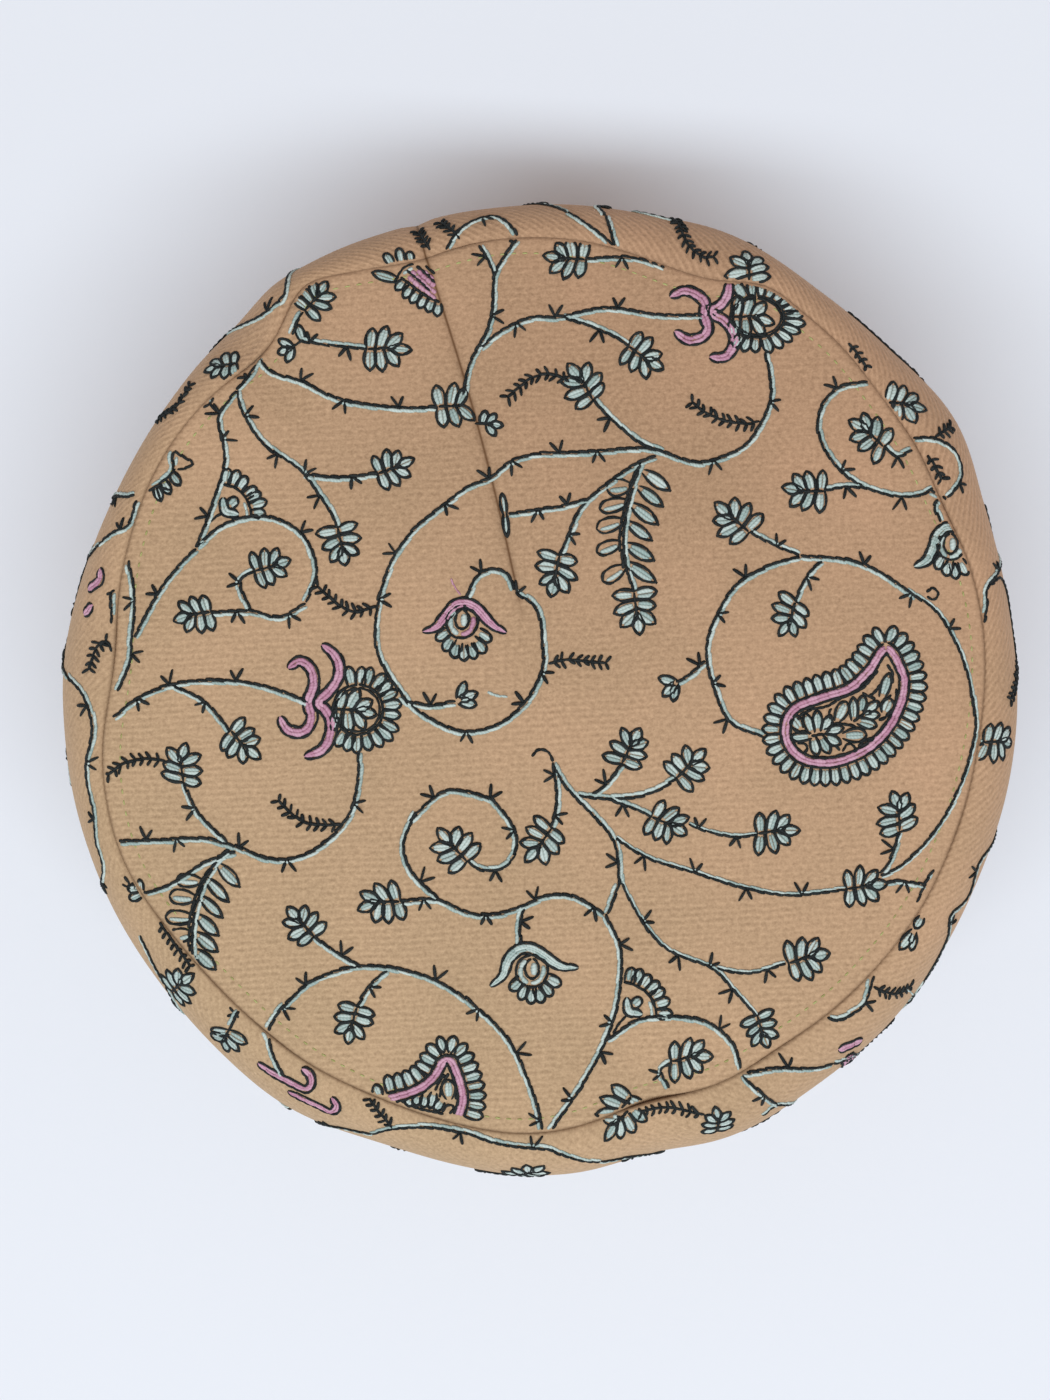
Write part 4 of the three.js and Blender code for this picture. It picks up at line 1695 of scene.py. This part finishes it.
spindle = {
    "rings": (0.12, 0.38, 0.62, 0.88),  # shares of the way along a stitch
    "corners": (306, 18, 90, 162, 234),  # degrees round a ring, its top being 90
    "lowest": 0.81,  # how far the lowest corners lie below a ring's middle, in its radius
    "plump": 0.35,
    "ringSink": 0.06,  # millimetres into the cloth
    "tipSink": 0.12,
}


# Stitches as curved spindles on the cloth: rings of corners along a curve through start, middle and end,
# plump in the middle, with both tips sunk into the cloth
def sewnPiece(name, rows, cloth):
    count = len(rows)
    share = np.array([0, *spindle["rings"], 1])
    flat = alongStitch(rows, share)
    point = cloth(flat)
    normal = np.cross(cloth(flat + [smallStep, 0]) - point, cloth(flat + [0, smallStep]) - point)
    normal = unit(normal)
    side = unit(np.cross(np.gradient(point, axis=1), normal))
    angle = np.radians(spindle["corners"])
    lift = (np.sin(angle) + spindle["lowest"]) / (1 + spindle["lowest"])
    plump = np.sin(np.pi * share[1:-1]) ** spindle["plump"]
    wide = (rows[:, 6, None] / 2 * plump)[..., None, None] * np.cos(angle)[:, None]
    high = (rows[:, 7, None] * plump)[..., None, None] * lift[:, None] - spindle["ringSink"]
    rings = point[:, 1:-1, None] + side[:, 1:-1, None] * wide + normal[:, 1:-1, None] * high
    tips = point[:, [0, -1]] - spindle["tipSink"] * normal[:, [0, -1]]
    corners = np.concatenate([rings.reshape(count, -1, 3), tips], axis=1)
    sides = len(angle)
    size = corners.shape[1]
    i, j = np.meshgrid(np.arange(len(plump)) * sides, np.arange(sides), indexing="ij")
    after = (j + 1) % sides
    quad = np.stack([(i + j)[:-1], (i + j)[1:], (i + after)[1:], (i + after)[:-1]], -1).reshape(-1, 4)
    firstTip = np.stack([np.full(sides, size - 2), j[0], after[0]], -1)
    lastTip = np.stack([np.full(sides, size - 1), (i + after)[-1], (i + j)[-1]], -1)
    first = (np.arange(count) * size)[:, None, None]
    faces = [(first + quad).reshape(-1, 4), (first + np.concatenate([firstTip, lastTip])).reshape(-1, 3)]
    walked = walkedAlong(point)
    along = np.concatenate([np.repeat(walked[:, 1:-1], sides, axis=1), walked[:, [0, -1]]], axis=1)
    topTurn = spindle["corners"].index(90) / sides
    around = np.tile(np.r_[np.tile(np.arange(sides) / sides, len(plump)), topTurn, topTurn], count)
    shade = np.repeat(draws.random(count), size)
    attributes = {"shade": shade, "along": along, "around": around}
    return addPiece(name, corners.reshape(-1, 3), faces, attributes)


topstitch = {
    "count": 245,
    "reach": 0.27,  # half a stitch, in steps
    "wander": [(0.35, 3, 0.6), (0.2, 7, 0.0)],  # millimetres, waves in a round and their phase
}


# The crown's topstitching: short stitches with gaps between them, in a ring that wanders by sines
def topstitchRing():
    count = topstitch["count"]
    bearing = (np.arange(count) + 0.5) / count * fullTurn
    inset = crownDetail["topstitchIn"]
    for width, waves, phase in topstitch["wander"]:
        inset = inset + width * np.sin(waves * bearing + phase)
    ends = []
    for way in (-topstitch["reach"], 0, topstitch["reach"]):
        turn = bearing + way * fullTurn / count
        ends.append(roundMiddle(cap["edge"](turn) - inset, turn))
    return ends


crownRows = {}
for cluster in crownClusters:
    Hoop(crownRows, crownPlace).sew(cluster)
Hoop(crownRows, crownPlace).stitch("green", *topstitchRing(), *stitchSizes["topstitch"])
bandRows = {}
for cluster in (shoulderMotifs, acrossSeam):
    Hoop(bandRows, shoulderPlace).sew(cluster)
Hoop(bandRows, onBand).sew(bandLinks)
for cluster, *place in bandPlaces:
    Hoop(bandRows, bandPlace(*place)).sew(cluster)

finishes = {kind: threadFinish(kind) for kind in threadLooks}
threadPieces = {"crown": [], "band": []}
threadOf = {"dark": "dark", "outline": "dark", "aqua": "aqua", "pink": "pink", "green": "green"}
for where, rows, cloth, room in (
    ("crown", crownRows, crownCloth, crownRoom),
    ("band", bandRows, bandCloth, bandRoom),
):
    for kind, parts in rows.items():
        piece = sewnPiece(where + "_" + kind + "_stitches", trimmed(np.concatenate(parts), room), cloth)
        piece.data.materials.append(finishes[threadOf[kind]])
        threadPieces[where].append(piece)
        print("sewn:", piece.name, len(piece.data.polygons), "faces")

for piece, node in ((crownPiece, "crown_top"), (bandPiece, "side_band")):
    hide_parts(node)
for piece in [crownPiece, bandPiece, *threadPieces["crown"], *threadPieces["band"]]:
    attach(piece, "root")

# A plain pale floor, one large soft light from the front and a faintly warm surround, in metres
studio = {
    "floor": (0.81, 0.83, 0.905),
    "floorHalf": 4.0,
    "surround": (1.0, 0.885, 0.81),
    "surroundStrength": 0.44,
    "lightFrom": (-0.08, -1.4, 3.2),
    "lightAt": (0, 0, 0.05),
    "lightSize": (4.8, 0.6),
    "lightPower": 114.0,
    "lightColour": (0.85, 0.955, 1.0),
}


def makeStudio():
    half = studio["floorHalf"]
    corners = [(-half, -half, 0), (half, -half, 0), (half, half, 0), (-half, half, 0)]
    mesh = bpy.data.meshes.new("floor")
    mesh.from_pydata(corners, [], [(0, 1, 2, 3)])
    floor = bpy.data.objects.new("floor", mesh)
    bpy.context.scene.collection.objects.link(floor)
    finish = Finish("paleFloor")
    finish.set(Base_Color=studio["floor"], Roughness=0.8, Specular_IOR_Level=0.1)
    mesh.materials.append(finish.material)
    lamp = bpy.data.lights.new("frontLight", "AREA")
    lamp.energy = studio["lightPower"]
    lamp.color = studio["lightColour"]
    lamp.shape = "RECTANGLE"
    lamp.size, lamp.size_y = studio["lightSize"]
    light = bpy.data.objects.new("frontLight", lamp)
    x, y, z = np.subtract(studio["lightAt"], studio["lightFrom"])
    light.location = studio["lightFrom"]
    light.rotation_euler = (np.arctan2(np.hypot(x, y), -z), 0, np.arctan2(-x, y))
    bpy.context.scene.collection.objects.link(light)
    world = bpy.data.worlds.new("surround")
    world.use_nodes = True
    back = world.node_tree.nodes["Background"]
    back.inputs["Color"].default_value = (*studio["surround"], 1)
    back.inputs["Strength"].default_value = studio["surroundStrength"]
    bpy.context.scene.world = world
    bpy.context.scene.view_settings.view_transform = "Standard"


makeStudio()
lens = bpy.data.cameras.new("fromAbove")
lens.lens = view["lens"]
lens.sensor_width = view["film"]
camera = bpy.data.objects.new("fromAbove", lens)
camera.location = [value * toMetres for value in view["eye"]]
bpy.context.scene.collection.objects.link(camera)
bpy.context.scene.camera = camera

print("scene ready")
